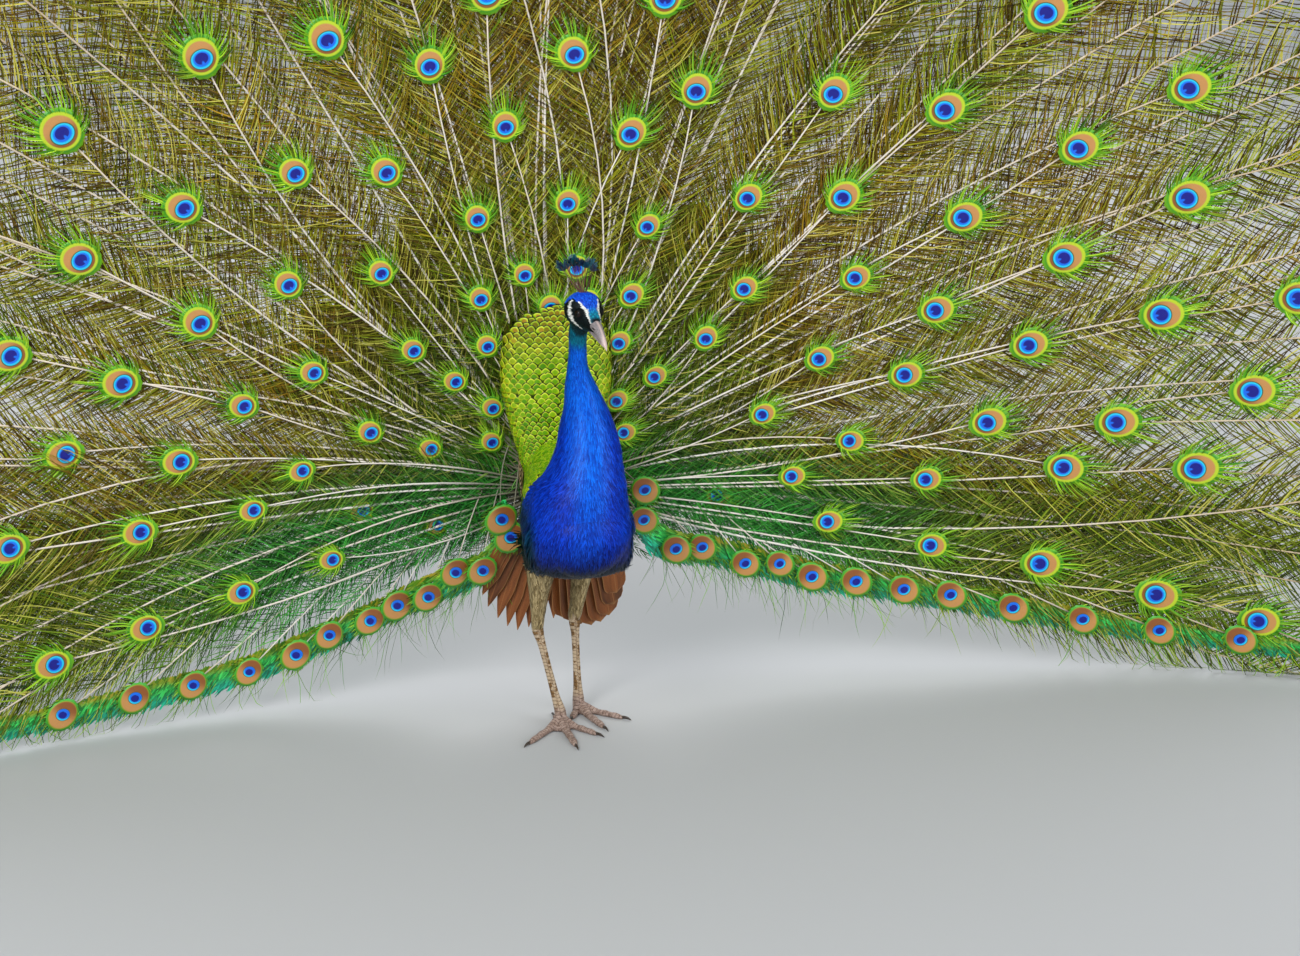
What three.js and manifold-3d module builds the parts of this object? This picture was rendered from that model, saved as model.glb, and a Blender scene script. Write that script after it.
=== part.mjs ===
// A life-size Indian peafowl cock, standing with its train raised in a fan.
// Millimetres, +Z up. The bird faces -Y and its own left side is +X.
import * as THREE from 'three';
import { mergeVertices } from 'three/addons/utils/BufferGeometryUtils.js';
import Module from 'manifold-3d';

const wasm = await Module();
wasm.setup();

// ---------------------------------------------------------------- driving dimensions
const GAP = 0.35;                    // clearance between neighbouring pieces
const BOX_MIDDLE_Y = 22;             // middle of the whole bird's box, front to back

// The raised train is a dish: a leaning plane whose rim bends forward.
const FAN_CENTRE = new THREE.Vector3(0, 170, 310);
const FAN_LEAN = THREE.MathUtils.degToRad(8);
const DISH_ACROSS = 0.20e-3;         // forward bend for each mm squared sideways
const DISH_UP = 0.07e-3;             // forward bend for each mm squared upward
const FAN_START = 50;                // radius where the train leaves the flanks
const FAN_OVER_RUMP = 64;            // how much further out it starts above the rump
const FAN_SIDE = 1185;               // radius to the feather tips at the sides
const FAN_TOP_EXTRA = 275;           // how much longer the top feathers reach
const FAN_SECTORS = 9;
const FAN_LOWEST = THREE.MathUtils.degToRad(-11); // sector lines start here on both sides
const VANES_PER_SECTOR = 4;
const VANE_THICKNESS = 1.4;
const RIM_NOTCH = 22;                // depth of the notch between two feather tips

// Lower edge of the fan, as a drop below its centre: start + slope * r + sag * sin(...)
const EDGE = {
  left: { side: 1, start: 60, slope: 0.155, sag: 22 },
  right: { side: -1, start: 54, slope: 0.1, sag: 124 },
};
const EDGE_SPAN = 1200;
const BAND_HALF = 24;                // half depth of the dense band along the edge
const BAND_THICKNESS = 6;
const BAND_IN_FRONT = 6;
const BAND_FORWARD = 30;             // how far it bends forward next to the body
const BAND_INNER = 105;
const BAND_OUTER = 1130;

const TAIL_RADIUS = 430;             // stiff tail feathers that prop the train
const TAIL_SPREAD = THREE.MathUtils.degToRad(76);
const TAIL_BEHIND = 16;
const TAIL_FEATHERS = 12;

// Head frame: forward, left and up, turned to the bird's left and tipped down.
const HEAD_CENTRE = new THREE.Vector3(4.5, -90, 622);
const HEAD_YAW = THREE.MathUtils.degToRad(15);
const HEAD_PITCH = THREE.MathUtils.degToRad(22);
const BILL_BASE = 27;                // where both halves of the bill come out of the head
const EYE_RADIUS = 6;
const EYE_AT = [9.5, 14.4, 7];
const CREST_ROOT = [-13, 0, 21];
const CREST_LENGTH = 55;
const CREST_BACK = THREE.MathUtils.degToRad(-48);
const CREST_FRONT = THREE.MathUtils.degToRad(6);
const CREST_TWIST = THREE.MathUtils.degToRad(48); // turns the crest's plane off the midline

// Heights of the cuts that part the legs, and the two planes that part the neck.
const HIP_CUT = 245;
const FOOT_CUT = 29;
const THROAT = { at: [-1, -68, 598], normal: [0.05, -0.5, 0.865] };
const COLLAR = { at: [0, -60, 388], normal: [0, -0.3, 0.954] };

// ---------------------------------------------------------------- shape helpers
const lerp = THREE.MathUtils.lerp;
const vec = (x, y, z) => new THREE.Vector3(x, y, z);

// Smooth curve through rows of numbers; t runs from 0 to 1 over the whole list.
function smooth(keys, t) {
  const last = keys.length - 1;
  const at = Math.min(t * last, last - 1e-9);
  const i = Math.floor(at);
  const f = at - i;
  const row = (k) => keys[Math.max(0, Math.min(last, k))];
  return keys[0].map((_, c) => {
    const [a, b, d, e] = [row(i - 1)[c], row(i)[c], row(i + 1)[c], row(i + 2)[c]];
    return 0.5 * (2 * b + (d - a) * f + (2 * a - 5 * b + 4 * d - e) * f * f
      + (3 * b - a - 3 * d + e) * f * f * f);
  });
}

// Closed mesh from points and triangles, turned so that its faces point out.
function closedMesh(points, triangles) {
  let volume = 0;
  for (const [a, b, c] of triangles) {
    volume += points[a].dot(points[b].clone().cross(points[c]));
  }
  const faces = volume < 0 ? triangles.map(([a, b, c]) => [a, c, b]) : triangles;
  const geometry = new THREE.BufferGeometry().setFromPoints(points);
  geometry.setIndex(faces.flat());
  return geometry;
}

// Skin over a row of rings, with a fan of faces over each end.
function tube(rings) {
  const n = rings[0].length;
  const points = rings.flat();
  const triangles = [];
  for (let r = 0; r + 1 < rings.length; r++) {
    for (let k = 0; k < n; k++) {
      const [a, b] = [r * n + k, r * n + ((k + 1) % n)];
      triangles.push([a, b, b + n], [a, b + n, a + n]);
    }
  }
  for (const end of [0, rings.length - 1]) {
    const middle = rings[end].reduce((sum, p) => sum.add(p), vec(0, 0, 0)).divideScalar(n);
    const tip = points.push(middle) - 1;
    for (let k = 0; k < n; k++) {
      const [a, b] = [end * n + k, end * n + ((k + 1) % n)];
      triangles.push(end === 0 ? [tip, b, a] : [tip, a, b]);
    }
  }
  return closedMesh(points, triangles);
}

function oval(centre, across, up, halfWidth, halfHeight, sides, bottom = halfHeight) {
  return Array.from({ length: sides }, (_, k) => {
    const turn = (2 * Math.PI * (k + 0.5)) / sides;
    const lift = Math.sin(turn);
    return centre.clone()
      .addScaledVector(across, halfWidth * Math.cos(turn))
      .addScaledVector(up, lift * (lift > 0 ? halfHeight : bottom));
  });
}

// Rows of [x, y, z, radius across, radius along the second direction], as a round limb.
function limb(keys, steps, sides) {
  const rows = Array.from({ length: steps + 1 }, (_, k) => smooth(keys, k / steps));
  return tube(rows.map((row, k) => {
    const [before, after] = [rows[Math.max(0, k - 1)], rows[Math.min(steps, k + 1)]];
    const along = vec(...after.slice(0, 3)).sub(vec(...before.slice(0, 3))).normalize();
    const guide = Math.abs(along.z) > 0.8 ? vec(0, 1, 0) : vec(0, 0, 1);
    const across = along.clone().cross(guide).normalize();
    const up = across.clone().cross(along).normalize();
    return oval(vec(...row.slice(0, 3)), across, up, row[3], row[4], sides);
  }));
}

// Thin slab on a surface: place(u, v) gives its middle, offset gives half its thickness.
function slab(place, offset, across, along) {
  const points = [];
  const triangles = [];
  for (const face of [1, -1]) {
    for (let j = 0; j <= along; j++) {
      for (let i = 0; i <= across; i++) {
        points.push(place(i / across, j / along).addScaledVector(offset, face));
      }
    }
  }
  const row = across + 1;
  const back = row * (along + 1);
  for (let j = 0; j < along; j++) {
    for (let i = 0; i < across; i++) {
      const a = j * row + i;
      triangles.push([a, a + 1, a + row + 1], [a, a + row + 1, a + row]);
      triangles.push([back + a, back + a + row + 1, back + a + 1]);
      triangles.push([back + a, back + a + row, back + a + row + 1]);
    }
  }
  const wall = (a, b) => triangles.push([a, back + a, back + b], [a, back + b, b]);
  for (let i = 0; i < across; i++) {
    wall(i, i + 1);
    wall(along * row + i + 1, along * row + i);
  }
  for (let j = 0; j < along; j++) {
    wall((j + 1) * row, j * row);
    wall(j * row + across, (j + 1) * row + across);
  }
  return closedMesh(points, triangles);
}

// ---------------------------------------------------------------- joining and cutting
function welded(geometry) {
  const bare = geometry.clone();
  bare.deleteAttribute('normal');
  bare.deleteAttribute('uv');
  return mergeVertices(bare, 1e-4);
}

function solid(geometry) {
  const merged = welded(geometry);
  return new wasm.Manifold(new wasm.Mesh({
    numProp: 3,
    vertProperties: Float32Array.from(merged.attributes.position.array),
    triVerts: Uint32Array.from(merged.index.array),
  }));
}

// The same shape with its skin pushed out by the gap, used to cut its neighbours.
function swollen(geometry) {
  const merged = welded(geometry);
  merged.computeVertexNormals();
  const { position, normal } = merged.attributes;
  for (let k = 0; k < position.count; k++) {
    position.setXYZ(k, position.getX(k) + GAP * normal.getX(k),
      position.getY(k) + GAP * normal.getY(k), position.getZ(k) + GAP * normal.getZ(k));
  }
  return solid(merged);
}

const join = (geometries) => geometries.map(solid).reduce((sum, part) => sum.add(part));

// Keeps the side of a plane that its normal points to, back by half the gap.
function keepSide(shape, at, normal) {
  const n = vec(...normal).normalize();
  return shape.trimByPlane(n.toArray(), n.dot(vec(...at)) + GAP / 2);
}

const above = (shape, z) => keepSide(shape, [0, 0, z], [0, 0, 1]);
const below = (shape, z) => keepSide(shape, [0, 0, z], [0, 0, -1]);
const opposite = (normal) => normal.map((c) => -c);

function largest(shape) {
  const size = (part) => part.volume();
  return shape.decompose().reduce((best, part) => (size(part) > size(best) ? part : best));
}

function geometryOf(shape) {
  const mesh = shape.getMesh();
  const geometry = new THREE.BufferGeometry();
  geometry.setAttribute('position', new THREE.BufferAttribute(mesh.vertProperties, 3));
  geometry.setIndex(new THREE.BufferAttribute(mesh.triVerts, 1));
  geometry.computeVertexNormals();
  return geometry;
}

// ---------------------------------------------------------------- materials
const finish = (color, roughness, metalness = 0) => () => (
  new THREE.MeshStandardMaterial({ color, roughness, metalness })
);
const MATERIALS = {
  bluePlumage: finish(0x0a4fd0, 0.45, 0.2),
  greenScale: finish(0x9db51c, 0.45, 0.3),
  trainVane: finish(0x5f6a24, 0.6),
  emeraldBand: finish(0x14803c, 0.5, 0.2),
  barredWing: finish(0xa08a63, 0.7),
  chestnut: finish(0x8a4a1c, 0.6),
  tailBrown: finish(0x5c4a38, 0.7),
  down: finish(0x4a4238, 0.9),
  thighBuff: finish(0x9a7b4c, 0.8),
  legSkin: finish(0xb5a08a, 0.6),
  claw: finish(0x4a3d33, 0.4),
  bill: finish(0x8f8a8c, 0.35),
  eye: finish(0x120a06, 0.08),
  crestTip: finish(0x123f6a, 0.5),
};

// ---------------------------------------------------------------- body lofts
const SIDEWAYS = vec(1, 0, 0);
const BACKWARD = vec(0, 1, 0);
const UPWARD = vec(0, 0, 1);

// Trunk sections from the breast to the rump: [y, centre z, half width, half height].
const TRUNK = [
  [-137, 314, 8, 9], [-126, 314, 38, 36], [-100, 315, 62, 59], [-60, 318, 75, 70],
  [0, 322, 73, 74], [60, 333, 59, 70], [120, 347, 48, 63], [170, 361, 40, 53],
  [210, 376, 28, 39], [236, 386, 11, 13],
];
// Neck sections from the breast to the nape: [z, x, y, half width, half depth].
const NECK = [
  [244, 2, -44, 40, 26], [252, 2, -48, 60, 44], [266, 0, -53, 71, 55], [290, -2, -60, 75, 64],
  [325, -3, -63, 74, 68], [374, 1, -61, 64, 60], [398, 8, -57, 54, 54], [428, 13, -53, 45.5, 47],
  [457, 12.5, -49, 39, 40], [484, 10.5, -47, 31, 33], [513, 4.5, -48, 23.5, 26],
  [540, 0, -52, 16.5, 20], [565, -1, -59, 14.5, 18], [590, -2, -68, 15, 19], [608, 0, -78, 16, 18],
];
// Head sections from the back of the skull to the bill: [s, half width, top, bottom].
const HEAD = [
  [-33, 3, 3, 3], [-30, 12, 10, 11], [-22, 21.5, 19, 20], [-10, 25.5, 24, 25],
  [0, 24, 24, 24.5], [9, 19.5, 21.5, 21.5], [18, 15, 17, 18], [26, 11.5, 12.5, 14],
  [33, 8, 8.5, 10], [37, 5.5, 6, 8],
];
// Upper bill from its base to its hooked tip: [s, half width, ridge, cutting edge].
const UPPER_BILL = [
  [22, 8, 9, -5.5], [31, 8, 8.6, -6], [40, 6.8, 7.6, -6], [50, 5.4, 4.6, -6.6],
  [60, 3.8, -0.4, -8.2], [67, 2.2, -5.2, -10], [71.5, 0.6, -9.6, -11.6],
];
// Lower bill: [s, half width, cutting edge, keel].
const LOWER_BILL = [
  [22, 7, -6.8, -12.5], [32, 6.3, -6.8, -12], [44, 4.8, -7.2, -11.8],
  [55, 3.2, -8.2, -11.6], [62.5, 1.2, -9.8, -11.2],
];

const headForward = vec(
  Math.cos(HEAD_PITCH) * Math.sin(HEAD_YAW),
  -Math.cos(HEAD_PITCH) * Math.cos(HEAD_YAW),
  -Math.sin(HEAD_PITCH),
);
const headLeft = vec(Math.cos(HEAD_YAW), Math.sin(HEAD_YAW), 0);
const headUp = headLeft.clone().cross(headForward).negate();

function headPoint(s, left, up) {
  return HEAD_CENTRE.clone().addScaledVector(headForward, s)
    .addScaledVector(headLeft, left).addScaledVector(headUp, up);
}

function loft(keys, steps, ring) {
  return tube(Array.from({ length: steps + 1 }, (_, k) => ring(smooth(keys, k / steps))));
}

const trunkLoft = () => loft(TRUNK, 10, ([y, z, width, height]) => (
  oval(vec(0, y, z), SIDEWAYS, UPWARD, width, height, 16)));
const neckLoft = () => loft(NECK, 14, ([z, x, y, width, depth]) => (
  oval(vec(x, y, z), SIDEWAYS, BACKWARD, width, depth, 14)));
const headLoft = () => loft(HEAD, 10, ([s, width, top, bottom]) => (
  oval(headPoint(s, 0, 0), headLeft, headUp, width, top, 12, bottom)));
const billLoft = (keys) => loft(keys, 7, ([s, width, top, bottom]) => (
  oval(headPoint(s, 0, (top + bottom) / 2), headLeft, headUp, width, (top - bottom) / 2, 10)));

function eyeball(side) {
  const [s, out, up] = EYE_AT;
  const geometry = new THREE.SphereGeometry(EYE_RADIUS, 10, 6);
  const place = headPoint(s, side * out, up);
  return geometry.translate(place.x, place.y, place.z);
}

// ---------------------------------------------------------------- legs
// Each leg: hip, hock, ball of the foot, and the tips of its four toes.
const LEGS = {
  left: {
    hip: [32, 52, 275], knee: [24, 66, 205], hock: [15, 74, 134], ball: [17, 60, 16],
    toes: { outer: [73, 15], middle: [40, -14], inner: [2, 28], hind: [20, 88] },
  },
  right: {
    hip: [-38, 12, 275], knee: [-43, 24, 205], hock: [-45, 32, 141], ball: [-17, 14, 16],
    toes: { outer: [-72, -49], middle: [-10, -70], inner: [26, -36], hind: [-21, 42] },
  },
};
const TOE_WIDTH = { outer: 5.2, middle: 5.6, inner: 5.2, hind: 3.8 };
const CLAW_LENGTH = 13;
const CLAW_ROOT = 2.5;

function shankLoft({ hock, ball }) {
  const [hx, hy, hz] = hock;
  const [bx, by, bz] = ball;
  const between = (t) => [lerp(hx, bx, t), lerp(hy, by, t), lerp(hz, bz, t)];
  return limb([
    [hx, hy, hz + 30, 7, 8], [hx, hy, hz, 8.2, 9.2], [...between(0.18), 6, 7.4],
    [...between(0.5), 5.4, 6.8], [...between(0.8), 6.2, 7.4], [bx, by, bz + 3, 8.4, 8.6],
    [bx, by, -1, 8, 8],
  ], 9, 8);
}

function thighLoft({ hip, knee, hock }) {
  const [hx, hy, hz] = hock;
  return limb([
    [...hip, 32, 36], [...knee, 17, 21], [lerp(knee[0], hx, 0.5), lerp(knee[1], hy, 0.5),
      lerp(knee[2], hz, 0.5), 12.5, 15], [hx, hy, hz + 6, 9.4, 11],
  ], 6, 10);
}

// A toe arches from the ball, swells at its two pads and lies flat on the ground.
function toeLoft({ ball, toes }, name) {
  const [tx, ty] = toes[name];
  const w = TOE_WIDTH[name];
  const rise = name === 'hind' ? 20 : 12;
  const at = (t, height, size) => [
    lerp(ball[0], tx, t), lerp(ball[1], ty, t), height, size, size * 0.86];
  return limb([
    at(0, rise, w * 1.25), at(0.2, lerp(rise, w, 0.6), w * 1.15), at(0.42, w * 0.76, w * 1.06),
    at(0.56, w * 0.6, w * 0.86), at(0.76, w * 0.66, w * 0.96), at(0.9, w * 0.5, w * 0.76),
    at(1, w * 0.4, w * 0.5),
  ], 6, 7);
}

function clawLoft({ ball, toes }, name) {
  const tip = vec(...toes[name], 0);
  const out = tip.clone().sub(vec(ball[0], ball[1], 0)).normalize();
  const at = (distance, height, size) => [
    tip.x + out.x * distance, tip.y + out.y * distance, height, size * 0.8, size];
  return limb([
    at(-2.5, CLAW_ROOT * 1.05, CLAW_ROOT), at(CLAW_LENGTH * 0.35, 3.6, CLAW_ROOT * 0.85),
    at(CLAW_LENGTH * 0.75, 2.5, CLAW_ROOT * 0.55), at(CLAW_LENGTH, 0.9, 0.45),
  ], 3, 6);
}

// A low pad of skin joins the roots of the three front toes.
function webLoft({ ball, toes }) {
  const reach = (name) => [lerp(ball[0], toes[name][0], 0.34), lerp(ball[1], toes[name][1], 0.34)];
  const rim = [reach('outer'), reach('middle'), reach('inner'), [ball[0], ball[1] + 7]];
  const shape = new THREE.Shape(rim.map(([x, y]) => new THREE.Vector2(x, y)));
  const web = new THREE.ExtrudeGeometry(shape, { depth: 7, bevelEnabled: false });
  return web.translate(0, 0, 1);
}

function flattenedFoot(geometry) {
  const { position } = geometry.attributes;
  for (let k = 0; k < position.count; k++) position.setZ(k, Math.max(0, position.getZ(k)));
  return geometry;
}

function legLofts(leg) {
  const toes = Object.keys(leg.toes).map((name) => flattenedFoot(toeLoft(leg, name)));
  return [thighLoft(leg), flattenedFoot(shankLoft(leg)), webLoft(leg), ...toes];
}

// ---------------------------------------------------------------- plumage shapes
// The raised scaled back: [z, y, half width, half depth], in front of the fan.
const SHIELD = [
  [296, 68, 26, 28], [325, 88, 47, 44], [367, 105, 57, 44], [419, 114, 70, 37],
  [463, 114, 78, 32], [520, 111, 76, 24], [550, 108, 66, 17], [570, 107, 44, 10],
  [578, 106, 20, 6],
];
const shieldLoft = () => loft(SHIELD, 9, ([z, y, width, depth]) => (
  oval(vec(-1, y, z), SIDEWAYS, BACKWARD, width, depth, 16)));

// The closed wing is a shell over the trunk's side; reach says how far it wraps.
const WING_THICKNESS = 6;
const WING_CLEARANCE = 1.1;
const WING = [[66, 0.1, 0.15], [76, 0.5, 0.4], [90, 0.85, 0.7], [108, 1, 0.9], [135, 0.9, 1],
  [160, 0.6, 0.8], [182, 0.15, 0.3]];
const WING_REACH = THREE.MathUtils.degToRad(38);
const WING_MIDDLE = THREE.MathUtils.degToRad(-22);

function trunkAt(y) {
  let t = 0;
  while (t < 1 && smooth(TRUNK, t)[0] < y) t += 0.002;
  return smooth(TRUNK, t);
}

function wingLoft(side) {
  return loft(WING, 8, ([y, reach, thick]) => {
    const [, z, width, height] = trunkAt(y);
    const arc = (turn, out) => vec(side * (width + out) * Math.cos(WING_MIDDLE + turn), y,
      z + (height + out) * Math.sin(WING_MIDDLE + turn));
    const steps = 6;
    const turns = Array.from({ length: steps + 1 }, (_, k) => (
      lerp(-WING_REACH, WING_REACH, k / steps) * reach));
    const swell = (turn) => WING_THICKNESS * thick * Math.cos((0.9 * turn) / reach) + 2.2;
    return [...turns.map((turn) => arc(turn, swell(turn))),
      ...turns.reverse().map((turn) => arc(turn, WING_CLEARANCE))];
  });
}

// Hanging flight feathers: their tips from the outer edge to the middle, [x, y, z].
const PRIMARY_TIPS = {
  left: [[80, 118, 178], [84, 122, 146], [73, 124, 116], [50, 127, 103], [26, 134, 106],
    [9, 143, 113]],
  right: [[-104, 116, 190], [-108, 119, 158], [-86, 122, 124], [-60, 126, 104], [-30, 133, 108],
    [3, 143, 113]],
};
const PRIMARY_NOTCH = { left: 3, right: 9 };
const PRIMARY_COUNT = 9;
const PRIMARY_MIDDLE = 6;            // the two wings' feathers meet a little left of centre

function primaryFan(name) {
  const { side } = EDGE[name];
  const place = (a, b) => {
    const root = vec(lerp(side * 58, PRIMARY_MIDDLE + side * 2, a), lerp(100, 156, a), 276 - 6 * a);
    const tip = vec(...smooth(PRIMARY_TIPS[name], a));
    const onTip = Math.abs(((a * PRIMARY_COUNT * 2) % 2) - 1);
    const reach = b * (1 - (PRIMARY_NOTCH[name] / 150) * (1 - onTip));
    const bulge = 7 * Math.sin(Math.PI * b) * (1 - a);
    return root.lerp(tip, reach).add(vec(side * bulge, -bulge * 0.3, 0));
  };
  return slab(place, vec(0, 1.6, 0), PRIMARY_COUNT * 2, 2);
}

// Point of the dish: x sideways, u up its slope, and a distance in front of it.
const fanUp = vec(0, -Math.sin(FAN_LEAN), Math.cos(FAN_LEAN));
const fanFront = vec(0, -Math.cos(FAN_LEAN), -Math.sin(FAN_LEAN));

function onFan(x, u, front = 0) {
  const bend = DISH_ACROSS * x * x + DISH_UP * u * u;
  return FAN_CENTRE.clone().addScaledVector(SIDEWAYS, x)
    .addScaledVector(fanUp, u).addScaledVector(fanFront, bend + front);
}

function edgeDrop({ start, slope, sag }, r) {
  return start + slope * r + sag * Math.sin((Math.PI * Math.min(r, EDGE_SPAN)) / EDGE_SPAN);
}

// Angle of the fan's lower edge at a radius, measured down from the horizontal.
function edgeAngle(edge, r) {
  return Math.asin(Math.min(0.96, edgeDrop(edge, r) / r));
}

// Angle of the line between two sectors; the first and last lines follow the lower edge.
function sectorLine(index, r) {
  if (index === 0) return -edgeAngle(EDGE.left, r);
  if (index === FAN_SECTORS) return Math.PI + edgeAngle(EDGE.right, r);
  return lerp(FAN_LOWEST, Math.PI - FAN_LOWEST, index / FAN_SECTORS);
}

const rimRadius = (angle) => FAN_SIDE + FAN_TOP_EXTRA * Math.sin(angle) ** 2;
const startRadius = (angle) => FAN_START + FAN_OVER_RUMP * Math.max(0, Math.sin(angle)) ** 2;

function trainSector(index) {
  const lineAt = (a, r) => lerp(sectorLine(index, r), sectorLine(index + 1, r), a);
  const place = (a, b) => {
    const onTip = Math.abs(((a * VANES_PER_SECTOR * 2) % 2) - 1);
    const rim = rimRadius(lineAt(a, FAN_SIDE)) - RIM_NOTCH * onTip;
    const r = lerp(startRadius(lineAt(a, FAN_START)), rim, b);
    const angle = lineAt(a, r) + ((1 - 2 * a) * GAP) / r;
    return onFan(r * Math.cos(angle), r * Math.sin(angle));
  };
  return slab(place, fanFront.clone().multiplyScalar(VANE_THICKNESS / 2), VANES_PER_SECTOR * 2, 5);
}

function trainBand(name) {
  const edge = EDGE[name];
  const place = (a, b) => {
    const r = lerp(BAND_INNER, BAND_OUTER, b);
    const angle = edgeAngle(edge, r);
    const taper = lerp(1, 0.55, b * b);
    const bend = BAND_FORWARD * Math.max(0, 1 - b * 6) ** 2;
    return onFan(edge.side * r * Math.cos(angle), -r * Math.sin(angle)
      + lerp(1, 1 - 2 * taper, a) * BAND_HALF, BAND_IN_FRONT + bend);
  };
  return slab(place, fanFront.clone().multiplyScalar(BAND_THICKNESS / 2), 2, 12);
}

function tailFan() {
  const place = (a, b) => {
    const onTip = Math.abs(((a * TAIL_FEATHERS * 2) % 2) - 1);
    const r = lerp(60, TAIL_RADIUS - 16 * (1 - onTip), b);
    const angle = Math.PI / 2 + lerp(-TAIL_SPREAD, TAIL_SPREAD, a);
    return onFan(r * Math.cos(angle), 40 + r * Math.sin(angle), -TAIL_BEHIND);
  };
  return slab(place, fanFront.clone().multiplyScalar(1.25), TAIL_FEATHERS * 2, 2);
}

// Soft feathers behind the tail fan: [u up the fan, half width, half depth].
const UNDERTAIL = [
  [12, 24, 8], [45, 56, 20], [95, 76, 27], [145, 68, 24], [200, 46, 16], [245, 14, 6],
];
const undertailLoft = () => loft(UNDERTAIL, 7, ([u, width, depth]) => (
  oval(onFan(0, u, -(TAIL_BEHIND + 6 + depth)), SIDEWAYS, BACKWARD, width, depth, 12)));

function crestFan() {
  const barbs = 6;
  const place = (a, b) => {
    const lean = lerp(CREST_BACK, CREST_FRONT, a);
    const onTip = Math.abs(((a * barbs * 2) % 2) - 1);
    const reach = b * (CREST_LENGTH - 4 * onTip);
    const [s, left, up] = CREST_ROOT;
    const out = (reach + 4) * Math.sin(lean);
    return headPoint(s + out * Math.cos(CREST_TWIST), left + out * Math.sin(CREST_TWIST),
      up + (reach + 4) * Math.cos(lean) - 6);
  };
  const across = headLeft.clone().multiplyScalar(Math.cos(CREST_TWIST))
    .addScaledVector(headForward, -Math.sin(CREST_TWIST));
  return slab(place, across.multiplyScalar(1.2), barbs * 2, 2);
}

// ---------------------------------------------------------------- assembly
const bird = new THREE.Group();
const cutters = [];

function boxOf(geometry) {
  geometry.computeBoundingBox();
  return geometry.boundingBox.clone().expandByScalar(2 * GAP);
}

// Adds a piece, cut back from every outline that is already kept clear.
function addPiece(name, shape, material) {
  const box = boxOf(geometryOf(shape));
  const trimmed = cutters.filter((c) => c.box.intersectsBox(box))
    .reduce((rest, c) => rest.subtract(c.shape), shape);
  const mesh = new THREE.Mesh(geometryOf(largest(trimmed)), material());
  mesh.name = name;
  bird.add(mesh);
}

// Later pieces stay clear of these outlines.
function keepClearOf(...geometries) {
  for (const geometry of geometries) {
    cutters.push({ box: boxOf(geometry), shape: swollen(geometry) });
  }
}

function addWhole(name, geometry, material) {
  addPiece(name, solid(geometry), material);
  keepClearOf(geometry);
}

const SIDES = { left: 1, right: -1 };
for (const [name, side] of Object.entries(SIDES)) {
  addWhole(`eye_${name}`, eyeball(side), MATERIALS.eye);
}
const billBase = headPoint(BILL_BASE, 0, 0).toArray();
for (const [name, keys] of Object.entries({ bill_upper: UPPER_BILL, bill_lower: LOWER_BILL })) {
  const bill = billLoft(keys);
  addPiece(name, keepSide(solid(bill), billBase, headForward.toArray()), MATERIALS.bill);
  keepClearOf(bill);
}

const bodyLofts = [trunkLoft(), neckLoft(), headLoft()];
const legs = Object.fromEntries(Object.keys(SIDES).map((name) => [name, legLofts(LEGS[name])]));
const body = above(join([...bodyLofts, ...legs.left, ...legs.right]), HIP_CUT);
const belowThroat = keepSide(body, THROAT.at, opposite(THROAT.normal));
addPiece('head', keepSide(body, THROAT.at, THROAT.normal), MATERIALS.bluePlumage);
addPiece('neck', keepSide(belowThroat, COLLAR.at, COLLAR.normal), MATERIALS.bluePlumage);
addPiece('trunk', keepSide(belowThroat, COLLAR.at, opposite(COLLAR.normal)),
  MATERIALS.bluePlumage);
keepClearOf(...bodyLofts);

for (const name of Object.keys(SIDES)) {
  const leg = LEGS[name];
  const hock = leg.hock[2];
  const lower = below(join(legs[name]), HIP_CUT);
  addPiece(`thigh_${name}`, above(lower, hock), MATERIALS.thighBuff);
  addPiece(`shank_${name}`, above(below(lower, hock), FOOT_CUT), MATERIALS.legSkin);
  addPiece(`foot_${name}`, below(lower, FOOT_CUT), MATERIALS.legSkin);
  keepClearOf(...legs[name]);
  for (const toe of Object.keys(leg.toes)) {
    addWhole(`claw_${name}_${toe}`, flattenedFoot(clawLoft(leg, toe)), MATERIALS.claw);
  }
}

addWhole('crest', crestFan(), MATERIALS.crestTip);
addWhole('back_shield', shieldLoft(), MATERIALS.greenScale);
for (const [name, side] of Object.entries(SIDES)) {
  addWhole(`wing_${name}`, wingLoft(side), MATERIALS.barredWing);
  addWhole(`primaries_${name}`, primaryFan(name), MATERIALS.chestnut);
}
for (const name of Object.keys(SIDES)) {
  addWhole(`train_band_${name}`, trainBand(name), MATERIALS.emeraldBand);
}
for (let index = 0; index < FAN_SECTORS; index++) {
  addWhole(`train_${index + 1}`, trainSector(index), MATERIALS.trainVane);
}
addWhole('tail', tailFan(), MATERIALS.tailBrown);
addWhole('undertail', undertailLoft(), MATERIALS.down);

bird.position.set(0, -BOX_MIDDLE_Y, 0);
export default bird;
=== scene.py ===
# %% [markdown]
# # A peacock with its train raised
# This lesson dresses a life-size model of an Indian peafowl cock. The imported solids give every place
# and size. Here they get skin, feathers, scales and eyespots. Each step says what the real thing is,
# how it could be made, and why it is made this way. All lengths are in metres, and Z is up.
#
# The first cell loads the imported solids.

from math import atan2, ceil, cos, hypot, pi, radians, sin, sqrt

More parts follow.
